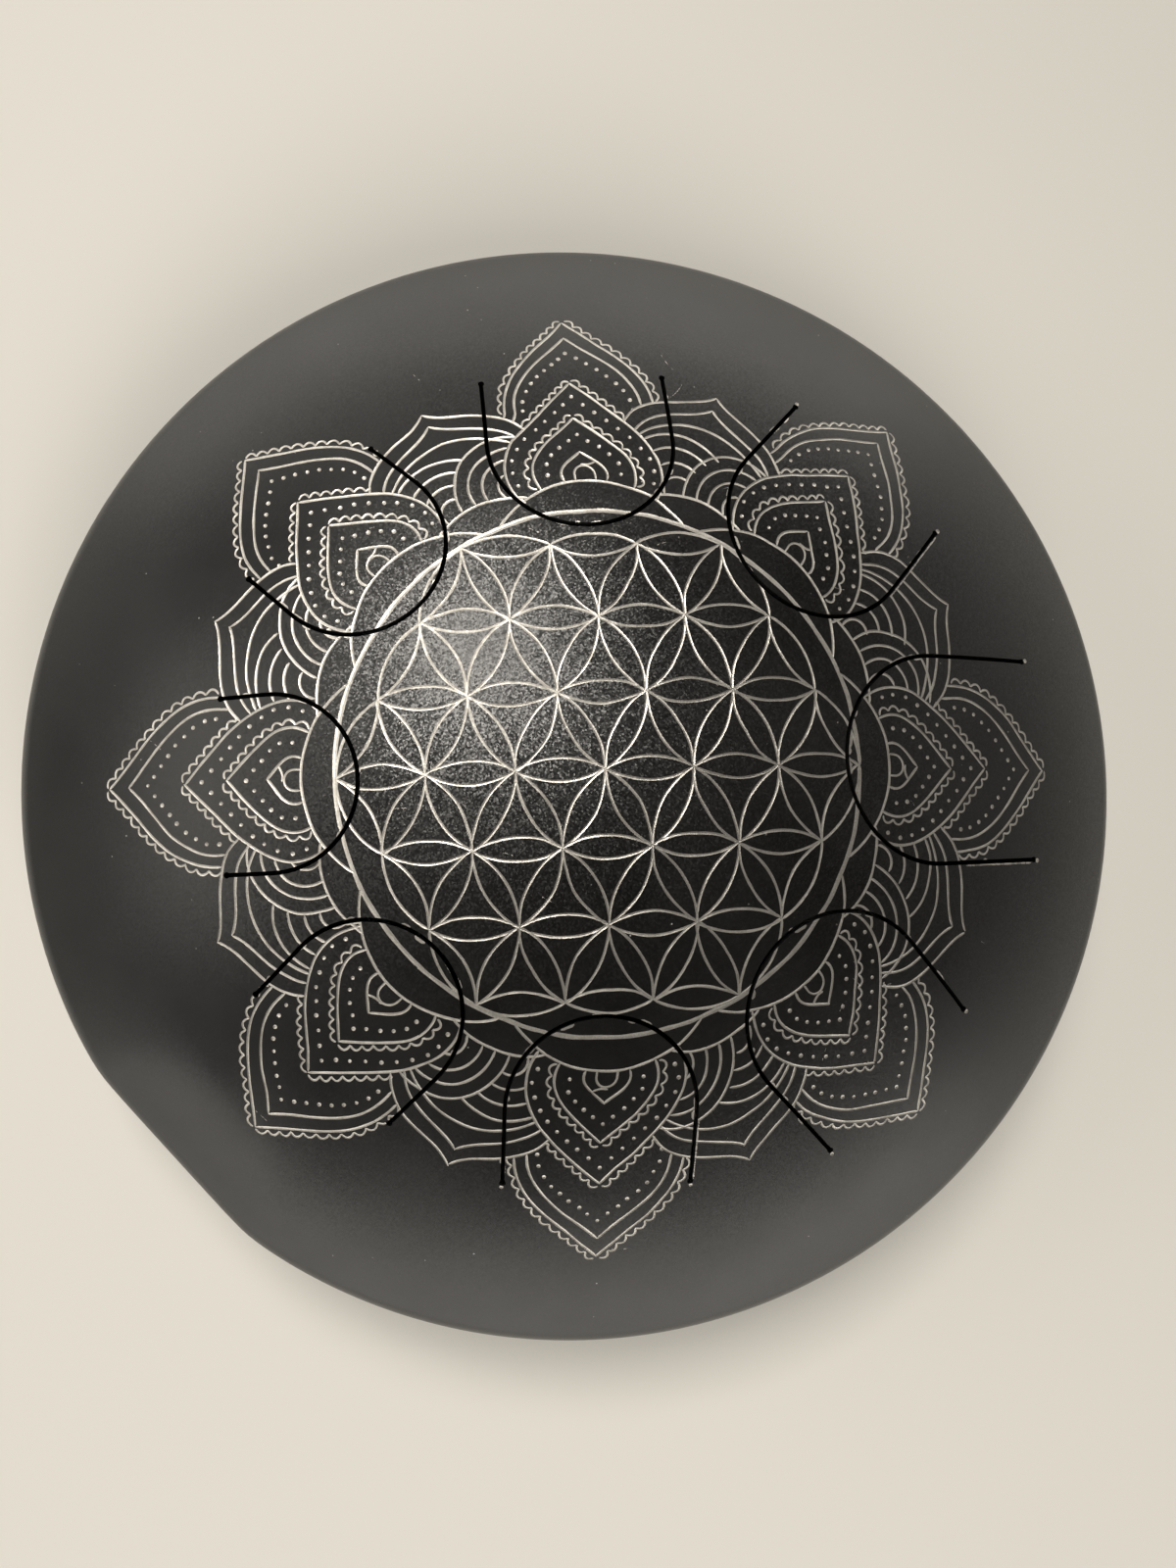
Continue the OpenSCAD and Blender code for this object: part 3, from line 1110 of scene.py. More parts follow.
    def scallops(self, half: np.ndarray, pitch: float, upto: float) -> np.ndarray:
        """Returns a scalloped edge outside a petal's half outline.

        Args:
            half: the half outline from its tip.
            pitch: length of one scallop.
            upto: share of the outline that has scallops.

        Returns:
            The edge, in the petal's own axes.
        """
        fine = respace(half, self.scallop_step)
        s = travel(fine)
        count = max(1, round(s[-1] * upto / pitch))
        keep = s <= s[-1] * upto + NEAR
        wave = np.abs(np.sin(math.pi * s * count / (s[-1] * upto))) ** self.scallop_power
        return (fine + sideways(fine) * (self.scallop_base + self.scallop_rise * wave)[:, None])[keep]

    def both(self, petal: Petal, half: np.ndarray, tests: tuple[Test, ...], mark: Mark = Mark.LINE,
             step: float = 0.9) -> None:
        """Draws a half outline and its mirror image on a petal."""
        for line in (half, mirrored(half)):
            self.draw(petal.place(line), mark, tests, step)

    def dots(self, petal: Petal, corners: tuple[Pair, ...], per_side: int, tests: tuple[Test, ...]) -> None:
        """Sets a row of dots along a half outline and its mirror image.

        Args:
            petal: the petal.
            corners: corners of the half outline's curve.
            per_side: number of gaps between the dots of one half.
            tests: tests that a dot passes to be seen.
        """
        half = bezier(corners)
        spots = respace(half, travel(half)[-1] / per_side)
        for spot in petal.place(np.vstack([spots, mirrored(spots[1:])])):
            if all(t(spot[None, :])[0] for t in tests):
                self.dot(spot)

    def main_petal(self, petal: Petal) -> None:
        """Draws one main petal: three nested leaves with scallops and dots, and a drop at its foot.

        Args:
            petal: the petal.
        """
        low = (self.off_bulges,)
        high = (self.off_bulges, self.off_sides)
        leaves = ((self.outer, high), (self.outer_in, high), (self.middle, low), (self.inner, low),
                  (self.drop, low))
        for corners, tests in leaves:
            self.both(petal, longer(bezier(corners), self.tail), tests)
        edges = ((self.outer, high), (self.middle, high), (self.inner, low))
        for (corners, tests), (pitch, upto) in zip(edges, self.frills):
            self.both(petal, self.scallops(bezier(corners), pitch, upto), tests, Mark.FINE, self.frill_step)
        rows = ((self.outer_dots, high), (self.middle_dots, low), (self.inner_dots, low))
        for (corners, tests), count in zip(rows, self.dot_counts):
            self.dots(petal, corners, count, tests)
        start, top, end = self.loop
        loop = np.vstack([[start], arc(top, end[0], 180, 0, self.loop_points), [end]])
        self.draw(petal.place(loop), Mark.FINE, low, self.small_step)
        self.draw(petal.place(bezier(self.curl)), Mark.FINE, (), self.small_step)

    def side_petal(self, petal: Petal, shape: np.ndarray) -> None:
        """Draws one side petal: a pointed double outline, an arch and two overlapping fans.

        Args:
            petal: the petal.
            shape: its outline on the drum's plan.
        """
        away = petal.spot(0.0, self.side_bulge[0])
        front = petal.spot(*self.right_fan[0])

        def clear(points: np.ndarray) -> np.ndarray:
            """Tells which points are outside the petal's own base arc."""
            return np.hypot(*(points - away).T) > self.side_bulge[1]

        def behind(points: np.ndarray) -> np.ndarray:
            """Tells which points the front fan leaves open."""
            return np.hypot(*(points - front).T) > self.right_fan[1][-1]

        def own(points: np.ndarray) -> np.ndarray:
            """Tells which points lie inside the petal."""
            return within(shape, points)

        tests = (self.off_middles, self.off_bulges, clear)
        for corners in (self.side, self.side_in):
            self.both(petal, longer(bezier(corners), self.tail), tests)
        base, radius = self.side_arch
        inside = (*tests, own)
        self.draw(petal.place(arc((0, base), radius, *self.arch_sweep)), Mark.LINE, inside)
        for fan, seen in ((self.right_fan, inside), (self.left_fan, (*inside, behind))):
            for radius in fan[1]:
                self.draw(petal.place(arc(fan[0], radius, *self.fan_sweep)), Mark.LINE, seen)

    def marks(self) -> list[Stroke]:
        """Draws the whole pattern.

        Returns:
            Every cut of it.
        """
        self.flower()
        self.rings()
        for petal in self.mains:
            self.main_petal(petal)
        for petal, shape in zip(self.sides, self.side_shapes):
            self.side_petal(petal, shape)
        return self.strokes


# The top shell and its tongues


def crown_radius(roll_r: float, rise: float, edge_r: float) -> float:
    """Works out the sphere of a shell's crown.

    Args:
        roll_r: radius of the ring that the edge is rolled round.
        rise: height of the crown over that ring.
        edge_r: radius of the rolled edge.

    Returns:
        The sphere's radius.
    """
    return (roll_r ** 2 + rise ** 2 - edge_r ** 2) / (2 * (rise - edge_r))


@dataclass
class Dome:
    """The top shell's outside, in mm: a crown sphere that runs into a rolled edge and a short skirt."""

    top_z: float
    drum_r: float = 160.0
    rise: float = 58.0
    edge_r: float = 10.0
    skirt_h: float = 3.0
    sheet_t: float = 2.0
    join_r: float = 140.0
    crown_points: int = 5
    roll_points: int = 12
    inner_points: int = 10

    def __post_init__(self) -> None:
        """Works out the crown sphere and the rolled edge."""
        self.roll_r = self.drum_r - self.edge_r
        self.roll_z = self.top_z - self.rise
        self.crown_r = crown_radius(self.roll_r, self.rise, self.edge_r)
        self.centre_z = self.top_z - self.crown_r
        self.lean = math.degrees(math.atan2(self.roll_z - self.centre_z, self.roll_r))

    def lift(self, plan: np.ndarray, inset: np.ndarray | float) -> np.ndarray:
        """Returns plan points on the crown, or set in from it by a depth."""
        flat = (plan ** 2).sum(axis=1)
        return np.column_stack([plan, self.centre_z + np.sqrt((self.crown_r - inset) ** 2 - flat)])

    def normals(self, plan: np.ndarray) -> np.ndarray:
        """Returns the crown's outward normals at plan points."""
        n = self.lift(plan, 0.0) - np.array([0.0, 0.0, self.centre_z])
        return n / self.crown_r

    def join_angle(self, inset: float) -> float:
        """Returns the crown's angle at the join circle, 90 being the top."""
        return math.degrees(math.acos(self.join_r / (self.crown_r - inset)))

    def edge_runs(self) -> list[Run]:
        """Draws the outline of the shell's edge.

        Returns:
            Its stretches, from the join circle out over the rolled edge and back inside.
        """
        t, centre, roll = self.sheet_t, (0.0, self.centre_z), (self.roll_r, self.roll_z)
        low = self.roll_z - self.skirt_h
        out, back = self.drum_r, self.drum_r - t
        return [
            Run.arc(centre, self.crown_r, self.join_angle(0.0), self.lean, self.crown_points),
            Run.arc(roll, self.edge_r, self.lean, 0.0, self.roll_points),
            Run.line((out, self.roll_z), (out, low), (1, 0)),
            Run.line((out, low), (back, low), (0, -1)),
            Run.line((back, low), (back, self.roll_z), (-1, 0)),
            Run.arc(roll, self.edge_r - t, 0.0, self.lean, self.inner_points, -1.0),
            Run.arc(centre, self.crown_r - t, self.lean, self.join_angle(t), self.crown_points, -1.0),
        ]


@dataclass
class Tongue:
    """One note tongue's plan, in mm, read from its CAD node and its joint."""

    note: int
    angle: float
    hinge: Vector
    aside: float = 0.0
    tip: float = 0.0
    root: float = 0.0
    half_w: float = 0.0
    kerf: float = 1.15
    pierce_r: float = 0.85
    run_points: int = 8
    bend_points: int = 40
    pierce_points: int = 18
    root_points: int = 24

    @classmethod
    def from_frame(cls, note: int) -> "Tongue":
        """Reads a tongue from the frame.

        Args:
            note: its number.

        Returns:
            The tongue.
        """
        name = f"tongue_{note}"
        joint = next(j for j in frame["joints"] if j["child"] == name)
        hinge = Vector(joint["pos_m"])
        angle = math.atan2(-joint["axis"][0], joint["axis"][1])
        tongue = cls(note, angle, hinge)
        tongue.root, tongue.aside = tongue.local(np.array([hinge[:2]]) / MM)[0]
        spots = np.array([v.co[:2] for v in frame["nodes"][name].data.vertices]) / MM
        tongue.tip = tongue.local(spots)[:, 0].min()
        tongue.half_w = np.abs(tongue.local(spots)[:, 1]).max()
        return tongue

    def local(self, plan: np.ndarray) -> np.ndarray:
        """Measures points against the tongue.

        Args:
            plan: points on the drum's plan.

        Returns:
            Their distance out along the tongue and across it.
        """
        c, s = math.cos(self.angle), math.sin(self.angle)
        x, y = plan[:, 0], plan[:, 1]
        return np.column_stack([x * c + y * s, y * c - x * s - self.aside])

    def plan(self, local: np.ndarray) -> np.ndarray:
        """Lays points on the drum's plan.

        Args:
            local: points as distance along and across the tongue.

        Returns:
            The same points on the plan.
        """
        c, s = math.cos(self.angle), math.sin(self.angle)
        x, y = local[:, 0], local[:, 1] + self.aside
        return np.column_stack([x * c - y * s, x * s + y * c])

    def side_line(self, grow: float) -> np.ndarray:
        """Draws the tongue's outline.

        Args:
            grow: distance outward from the tongue's edge.

        Returns:
            The line from root to root, along and across the tongue.
        """
        w = self.half_w + grow
        bend = self.tip + self.half_w
        run = np.linspace(self.root, bend, self.run_points)[:-1]
        up = np.column_stack([run, np.full(len(run), w)])
        down = (up * np.array([1.0, -1.0]))[::-1]
        return np.vstack([up, arc((bend, 0.0), w, 90.0, 270.0, self.bend_points), down])

    def slot_loop(self) -> np.ndarray:
        """Draws the slot, with a round hole at each end.

        Returns:
            Its closed outline on the drum's plan.
        """
        near, far = self.side_line(0.0), self.side_line(self.kerf)
        gape = math.asin(self.kerf / 2 / self.pierce_r)
        near[[0, -1], 0] = far[[0, -1], 0] = self.root - self.pierce_r * math.cos(gape)
        sweep = 180.0 - math.degrees(gape)
        across = self.half_w + self.kerf / 2
        low, high = (arc((self.root, y), self.pierce_r, sweep, -sweep, self.pierce_points)[1:-1]
                     for y in (-across, across))
        return self.plan(np.vstack([near, low, far[::-1], high]))

    def root_line(self) -> np.ndarray:
        """Returns the straight line across the root on the drum's plan."""
        ends = self.side_line(0.0)
        return self.plan(np.linspace(ends[0], ends[-1], self.root_points))

    def holds(self, plan: np.ndarray) -> np.ndarray:
        """Tells which plan points lie on the tongue.

        Args:
            plan: points on the drum's plan.

        Returns:
            True for each point on the tongue.
        """
        p = self.local(plan)
        bend = self.tip + self.half_w
        round_end = np.hypot(p[:, 0] - bend, p[:, 1]) < self.half_w
        straight = (p[:, 0] >= bend) & (np.abs(p[:, 1]) < self.half_w)
        return (round_end | straight) & (p[:, 0] < self.root)


@dataclass
class Wear:
    """Small marks of use and making: chips along the slots, bright slot ends and fine scratches.

    A painted glint is a tongue's number and the shares of its outline where a bright line of bare steel
    starts and ends, laid beside the slot as a painted highlight where the cut edge glints. A large chip is
    a tongue's number, a share of its outline and the chip's length in mm.
    """

    tongues: list[Tongue]
    seed: int = 5
    chips: int = 10
    scratches: int = 30
    reach: float = 128.0
    bright_ends: int = 4
    painted_glints: tuple[tuple[int, float, float], ...] = ((1, 0.84, 0.995), (3, 0.80, 0.995), (4, 0.005, 0.15))
    large: tuple[tuple[int, float, float], ...] = (
        (1, 0.45, 4.5), (1, 0.475, 3.0), (1, 0.505, 3.5), (2, 0.44, 4.0), (2, 0.60, 3.0), (6, 0.52, 3.5),
        (5, 0.33, 2.5), (3, 0.38, 4.0), (7, 0.25, 2.0), (4, 0.15, 3.0), (4, 0.57, 4.0))
    step: float = 0.3
    chip_points: tuple[int, int] = (4, 14)
    chip_scales: Pair = (0.5, 1.1)
    large_scale: float = 1.7
    glint_out: float = 0.25
    glint_scale: float = 0.55
    end_out: float = 1.011
    end_scales: Pair = (0.95, 1.2)
    scratch_sizes: Pair = (1.5, 7.0)
    scratch_bow: float = 0.4
    scratch_points: int = 7

    def slot_side(self, tongue: Tongue, grow: float) -> np.ndarray:
        """Returns even points along a tongue's outline, grown by a distance."""
        return respace(tongue.plan(tongue.side_line(grow)), self.step)

    def beside(self, tongue: Tongue, rng: np.random.RandomState) -> list[Stroke]:
        """Marks one tongue's slot.

        Args:
            tongue: the tongue.
            rng: source of the lots.

        Returns:
            Chips along both sides of the slot, large ones where the drum has them, painted highlight lines
            where the cut edge glints, and bright ends.
        """
        strokes = []
        for grow in (0.0, tongue.kerf):
            line = self.slot_side(tongue, grow)
            for _ in range(self.chips // 2):
                size = rng.randint(*self.chip_points)
                first = rng.randint(0, len(line) - size)
                chip = line[first:first + size:2]
                strokes.append(Stroke(chip, Mark.CHIP, rng.uniform(*self.chip_scales)))
        line = self.slot_side(tongue, 0.0)
        for note, share, size in self.large:
            if note == tongue.note:
                first, count = int(share * len(line)), int(size / self.step)
                strokes.append(Stroke(line[first:first + count:2], Mark.CHIP, self.large_scale))
        # painted highlight: strips of bare steel just outside the slot, where the cut edge glints
        line = self.slot_side(tongue, tongue.kerf + self.glint_out)
        for note, start, stop in self.painted_glints:
            if note == tongue.note:
                first, last = int(start * len(line)), int(stop * len(line))
                strokes.append(Stroke(line[first:last:2], Mark.CHIP, self.glint_scale))
        middle = tongue.plan(tongue.side_line(tongue.kerf / 2))
        for end in (middle[0], middle[-1]) if tongue.note <= self.bright_ends else ():
            strokes.append(Stroke(end[None, :] * self.end_out, Mark.DOT, rng.uniform(*self.end_scales)))
        return strokes

    def scratch(self, rng: np.random.RandomState) -> Stroke:
        """Draws one fine, slightly bowed scratch at a place drawn by lot.

        Args:
            rng: source of the lots.

        Returns:
            The scratch.
        """
        far, round_at = self.reach * math.sqrt(rng.uniform()), rng.uniform(0.0, 2 * math.pi)
        spot = far * np.array([math.cos(round_at), math.sin(round_at)])
        turn, size = rng.uniform(0.0, math.pi), rng.uniform(*self.scratch_sizes)
        way = np.array([math.cos(turn), math.sin(turn)])
        bow = np.array([-way[1], way[0]]) * rng.uniform(-self.scratch_bow, self.scratch_bow)
        t = np.linspace(0.0, 1.0, self.scratch_points)[:, None]
        return Stroke(spot + way * size * t + bow * (t - t * t) * 4, Mark.HAIR)

    def marks(self) -> list[Stroke]:
        """Draws all the marks.

        Returns:
            The marks of each tongue in turn, then the scratches.
        """
        rng = np.random.RandomState(self.seed)
        strokes = [stroke for tongue in self.tongues for stroke in self.beside(tongue, rng)]
        return strokes + [self.scratch(rng) for _ in range(self.scratches)]


@dataclass
class TopSkin:
    """The dished top with its tongues cut free: one net of triangles over the plan, lifted on the crown."""

    dome: Dome
    tongues: list[Tongue]
    strokes: list[Stroke]
    around: int = 360
    pitch: float = 5.0
    dot_sides: int = 8
    sample: float = 0.16
    bend: float = 14.0
    row_share: float = 0.866
    merge: float = 1e-4
    shallow: float = 0.012
    join_slack: float = 0.01
    seam_slack: float = 1e-9
    under_margin: float = 2.0
    seed: int = 23

    def net(self) -> None:
        """Draws every outline as fixed edges and fills the plan with triangles."""
        rng = np.random.RandomState(self.seed)
        spots, edges, probes = [], [], []

        def line(points: np.ndarray, closed: bool = False) -> None:
            """Adds a line of fixed edges.

            Args:
                points: the line.
                closed: whether its end joins its start.
            """
            first, count = len(spots), len(points)
            spots.extend(points.tolist())
            edges.extend((first + i, first + i + 1) for i in range(count - 1))
            if closed:
                edges.append((first + count - 1, first))

        self.angles = round_angles(self.around)
        line(self.dome.join_r * np.column_stack([np.cos(self.angles), np.sin(self.angles)]), True)
        for tongue in self.tongues:
            line(tongue.slot_loop(), True)
            line(tongue.root_line())
        for stroke in self.strokes:
            if len(stroke.points) == 1:
                r = stroke.mark.half_w * stroke.scale
                last = 360 - 360 / self.dot_sides
                line(arc(tuple(stroke.points[0]), r, 0, last, self.dot_sides), True)
                spots.append(stroke.points[0].tolist())
                probes.append(np.array([[*stroke.points[0], r, stroke.mark.depth]]))
                continue
            wide = stroke.widths(rng)
            left = sideways(stroke.points) * wide[:, None]
            for shift in (left, 0.0 * left, -left):
                line(stroke.points + shift)
            s = travel(stroke.points)
            fine = np.linspace(0.0, s[-1], max(2, int(s[-1] / self.sample)))
            deep = np.minimum(wide / stroke.mark.half_w, 1.0) * stroke.mark.depth
            table = np.column_stack([stroke.points, wide, deep])
            probes.append(np.column_stack([np.interp(fine, s, table[:, i]) for i in range(4)]))
        count = int(self.dome.join_r / self.pitch) + 1
        for i in range(-count, count + 1):
            for j in range(-count, count + 1):
                spot = np.array([(i + (j % 2) / 2) * self.pitch, j * self.pitch * self.row_share])
                if np.hypot(*spot) < self.dome.join_r - self.pitch / 2:
                    spots.append(spot.tolist())
        LOG.info("top net: %d spots, %d edges", len(spots), len(edges))
        out = delaunay_2d_cdt([Vector(s) for s in spots], edges, [], 0, self.merge, False)
        self.plan = np.array([tuple(v) for v in out[0]])
        self.triangles = np.array([tuple(f) for f in out[2]])
        self.probes = np.vstack(probes)

    def cut_depth(self, points: np.ndarray) -> np.ndarray:
        """Measures the engraving.

        Args:
            points: points on the drum's plan.

        Returns:
            Its depth at each point.
        """
        tree = KDTree(len(self.probes))
        for i, probe in enumerate(self.probes):
            tree.insert((probe[0], probe[1], 0.0), i)
        tree.balance()
        reach = float(self.probes[:, 2].max())
        depth = np.zeros(len(points))
        for k, (x, y) in enumerate(points):
            best = 0.0
            for _, i, far in tree.find_range((x, y, 0.0), reach):
                wide, deep = self.probes[i, 2], self.probes[i, 3]
                best = max(best, deep * (1.0 - far / wide))
            depth[k] = best
        return depth

    def sort(self) -> None:
        """Gives every triangle its piece, -1 being a slot, and marks the engraved ones."""
        middles = self.plan[self.triangles].mean(axis=1)
        self.owner = self.owners(middles)
        self.depth = self.cut_depth(self.plan)
        self.depth[self.depth < self.shallow] = 0.0
        self.cut = self.cut_depth(middles) > self.shallow

    def owners(self, plan: np.ndarray) -> np.ndarray:
        """Tells which piece points belong to.

        Args:
            plan: points on the drum's plan.

        Returns:
            0 for the shell, a tongue's number, or -1 in a slot.
        """
        owner = np.zeros(len(plan), int)
        for tongue in self.tongues:
            owner[within(tongue.slot_loop(), plan)] = -1
            owner[tongue.holds(plan) & (owner == 0)] = tongue.note
        return owner

    def body(self, note: int) -> Body:
        """Builds one piece with its top, its underside and the walls between.

        Args:
            note: 0 for the shell, or the tongue's number.

        Returns:
            The piece's mesh.
        """
        body = Body()
        triangles = self.triangles[self.owner == note]
        cut = self.cut[self.owner == note]
        used, back = np.unique(triangles, return_inverse=True)
        triangles = back.reshape(-1, 3)
        plan = self.plan[used]
        top = self.dome.lift(plan, self.depth[used])
        body.add(top)
        smooth = self.dome.normals(plan)
        p = top[triangles]
        flat = np.cross(p[:, 1] - p[:, 0], p[:, 2] - p[:, 0])
        flat /= np.maximum(np.linalg.norm(flat, axis=1), TINY)[:, None]
        for ids, is_cut, n in zip(triangles, cut, flat):
            if is_cut:
                body.face(ids, [n] * 3, Face.STEEL)
            else:
                body.face(ids, list(smooth[ids]))
        edges = {(int(t[i]), int(t[(i + 1) % 3])) for t in triangles for i in range(3)}
        rim = sorted((a, b) for a, b in edges if (b, a) not in edges)
        under = self.underside(body, plan, rim, note)
        on_join = np.hypot(plan[:, 0], plan[:, 1]) > self.dome.join_r - self.join_slack
        for a, b in rim:
            if not (on_join[a] and on_join[b]):
                body.flat_face([b, a, under[a], under[b]])
        if note == 0:
            ring = np.flatnonzero(on_join)
            around = np.arctan2(plan[ring, 1], plan[ring, 0]) % (2 * math.pi - self.seam_slack)
            ring = ring[np.argsort(around)]
            below = np.array([under[int(i)] for i in ring])
            body.turn(self.dome.edge_runs(), self.angles, ring, below)
            body.press(EdgeFlat())
        return body

    def underside(self, body: Body, plan: np.ndarray, rim: list[tuple[int, int]],
                  note: int) -> dict[int, int]:
        """Adds a piece's inner face.

        Args:
            body: the mesh in the making.
            plan: plan points of its top.
            rim: edges round its top.
            note: 0 for the shell, or the tongue's number.

        Returns:
            The inner corner under each corner of the rim.
        """
        ids = sorted({i for edge in rim for i in edge})
        number = {i: k for k, i in enumerate(ids)}
        spots = [Vector(plan[i]) for i in ids]
        low, high = plan.min(axis=0), plan.max(axis=0)
        xs, ys = (np.arange(low[k] + self.pitch / 2, high[k], self.pitch) for k in (0, 1))
        grid = np.array([(x, y) for x in xs for y in ys])
        inside = np.hypot(*grid.T) < self.dome.join_r - self.under_margin
        grid = grid[(self.owners(grid) == note) & inside]
        spots += [Vector(g) for g in grid]
        out = delaunay_2d_cdt(spots, [(number[a], number[b]) for a, b in rim], [], 0, NEAR, True)
        flat = np.array([tuple(v) for v in out[0]])
        first = len(body.corners)
        body.add(self.dome.lift(flat, self.dome.sheet_t))
        inward = -self.dome.normals(flat)
        faces = np.array([tuple(f) for f in out[2]])
        for face in faces[self.owners(flat[faces].mean(axis=1)) == note]:
            body.face((face[::-1] + first).tolist(), list(inward[face[::-1]]))
        found = {source: k for k, sources in enumerate(out[3]) for source in sources}
        return {i: found[k] + first for i, k in number.items()}

    def dress(self, coat: bpy.types.Material, steel: bpy.types.Material) -> None:
        """Builds the shell as a piece that rides on the drum, and the tongues as pieces in place of their
        CAD bodies.

        Args:
            coat: material of the coat.
            steel: material of the engraved lines.
        """
        self.net()
        self.sort()
        shell = self.body(0).piece("top_shell_skin", [coat, steel])
        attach(shell, "drum")
        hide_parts("upper_shell")
        LOG.info("top_shell_skin: %d faces", len(shell.data.polygons))
        for tongue in self.tongues:
            name = f"tongue_{tongue.note}"
            skin = self.body(tongue.note).piece(f"{name}_skin", [coat, steel])
            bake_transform(skin)
            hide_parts(name)
            LOG.info("%s_skin: %d faces", name, len(skin.data.polygons))


# The bottom shell, its seam and its feet


@dataclass
class Bowl:
    """The bottom shell, in mm: a crown sphere, a rolled edge and a port with a turned-in lip.

    The points of its arcs are counted over the edge, the crown and the lip outside, then back inside.
    """

    lip_z: float
    drum_r: float = 160.0
    depth: float = 46.0
    edge_r: float = 10.0
    skirt_h: float = 3.0
    sheet_t: float = 2.0
    port_r: float = 40.0
    lip_r: float = 6.0
    lip_h: float = 3.0
    outer_points: tuple[int, int, int] = (12, 28, 14)
    inner_points: tuple[int, int, int] = (12, 24, 10)
    around: int = 256

    def runs(self) -> list[Run]:
        """Draws the closed outline.

        Returns:
            Its stretches, from the skirt down outside, through the port and back inside.
        """
        t, roll_r = self.sheet_t, self.drum_r - self.edge_r
        crown_r = crown_radius(roll_r, self.depth, self.edge_r)
        lip_ring = self.port_r + self.lip_r
        centre_z = self.lip_z + math.sqrt((crown_r - self.lip_r) ** 2 - lip_ring ** 2)
        roll_z = centre_z - crown_r + self.depth
        top = roll_z + self.skirt_h
        lip_z = self.lip_z
        lean = math.degrees(math.atan2(roll_z - centre_z, roll_r))
        dip = math.degrees(math.atan2(lip_z - centre_z, lip_ring))
        centre, roll, lip = (0.0, centre_z), (roll_r, roll_z), (lip_ring, lip_z)
        out, back, port, collar = self.drum_r, self.drum_r - t, self.port_r, self.port_r + t
        crest = lip_z + self.lip_h
        return [
            Run.line((out, top), (out, roll_z), (1, 0)),
            Run.arc(roll, self.edge_r, 0.0, lean, self.outer_points[0]),
            Run.arc(centre, crown_r, lean, dip, self.outer_points[1]),
            Run.arc(lip, self.lip_r, dip, -180.0, self.outer_points[2]),
            Run.line((port, lip_z), (port, crest), (-1, 0)),
            Run.line((port, crest), (collar, crest), (0, 1)),
            Run.line((collar, crest), (collar, lip_z), (1, 0)),
            Run.arc(lip, self.lip_r - t, -180.0, dip, self.inner_points[0], -1.0),
            Run.arc(centre, crown_r - t, dip, lean, self.inner_points[1], -1.0),
            Run.arc(roll, self.edge_r - t, lean, 0.0, self.inner_points[2], -1.0),
            Run.line((back, roll_z), (back, top), (-1, 0)),
            Run.line((back, top), (out, top), (0, 1)),
        ]

    def dress(self, coat: bpy.types.Material) -> None:
        """Builds the bottom shell as a piece that rides on the drum.

        Args:
            coat: material of the coat.
        """
        body = Body()
        body.turn(self.runs(), round_angles(self.around))
        body.press(EdgeFlat())
        piece = body.piece("bottom_shell_skin", [coat])
        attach(piece, "drum")
        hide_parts("lower_shell")
        LOG.info("bottom_shell_skin: %d faces", len(piece.data.polygons))


@dataclass
class SeamWeld:
    """The weld round the edge, in mm: a low bead laid in overlapping ripples.

    Its sides sway in waves, each given by its size, its number round the drum and its start.
    """

    middle_z: float
    drum_r: float = 160.0
    width: float = 5.0
    crown: float = 0.6
    root: float = 1.2
    ripple: float = 3.2
    bow: float = 0.45
    trough: float = 0.62
    swell: float = 0.38
    sways: tuple[tuple[float, float, float], ...] = ((0.12, 17.0, 0.0), (0.08, 41.0, 1.0))
    face_share: float = 0.46
    root_share: float = 0.15
    around: int = 1440
    across: int = 9
    sharp: float = 60.0

    def dress(self, coat: bpy.types.Material) -> None:
        """Builds the weld as a piece that rides on the drum.

        Args:
            coat: material of the coat.
        """
        body = Body()
        angle = round_angles(self.around)
        waves = round(2 * math.pi * self.drum_r / self.ripple)
        sway = sum(size * np.sin(angle * times + start) for size, times, start in self.sways)
        rows = []
        for u in np.linspace(-1.0, 1.0, self.across):
            phase = (angle * waves / (2 * math.pi) + self.bow * u * u) % 1.0
            swell = self.trough + self.swell * np.sqrt(1.0 - phase)
            r = self.drum_r + self.crown * (1.0 - u * u) * swell
            z = self.middle_z + (u * self.face_share * self.width + sway * abs(u))
            rows.append(body.add(np.column_stack([r * np.cos(angle), r * np.sin(angle), z])))
        back = self.drum_r - self.root
        for u in (self.root_share, -self.root_share):
            rows.append(body.ring(np.array([back, self.middle_z + u * self.width]), angle))
        body.grid(rows)
        body.press(EdgeFlat())
        piece = body.piece("seam_weld_bead", [coat], self.sharp)
        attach(piece, "drum")
        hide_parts("seam_weld")
        LOG.info("seam_weld_bead: %d faces", len(piece.data.polygons))


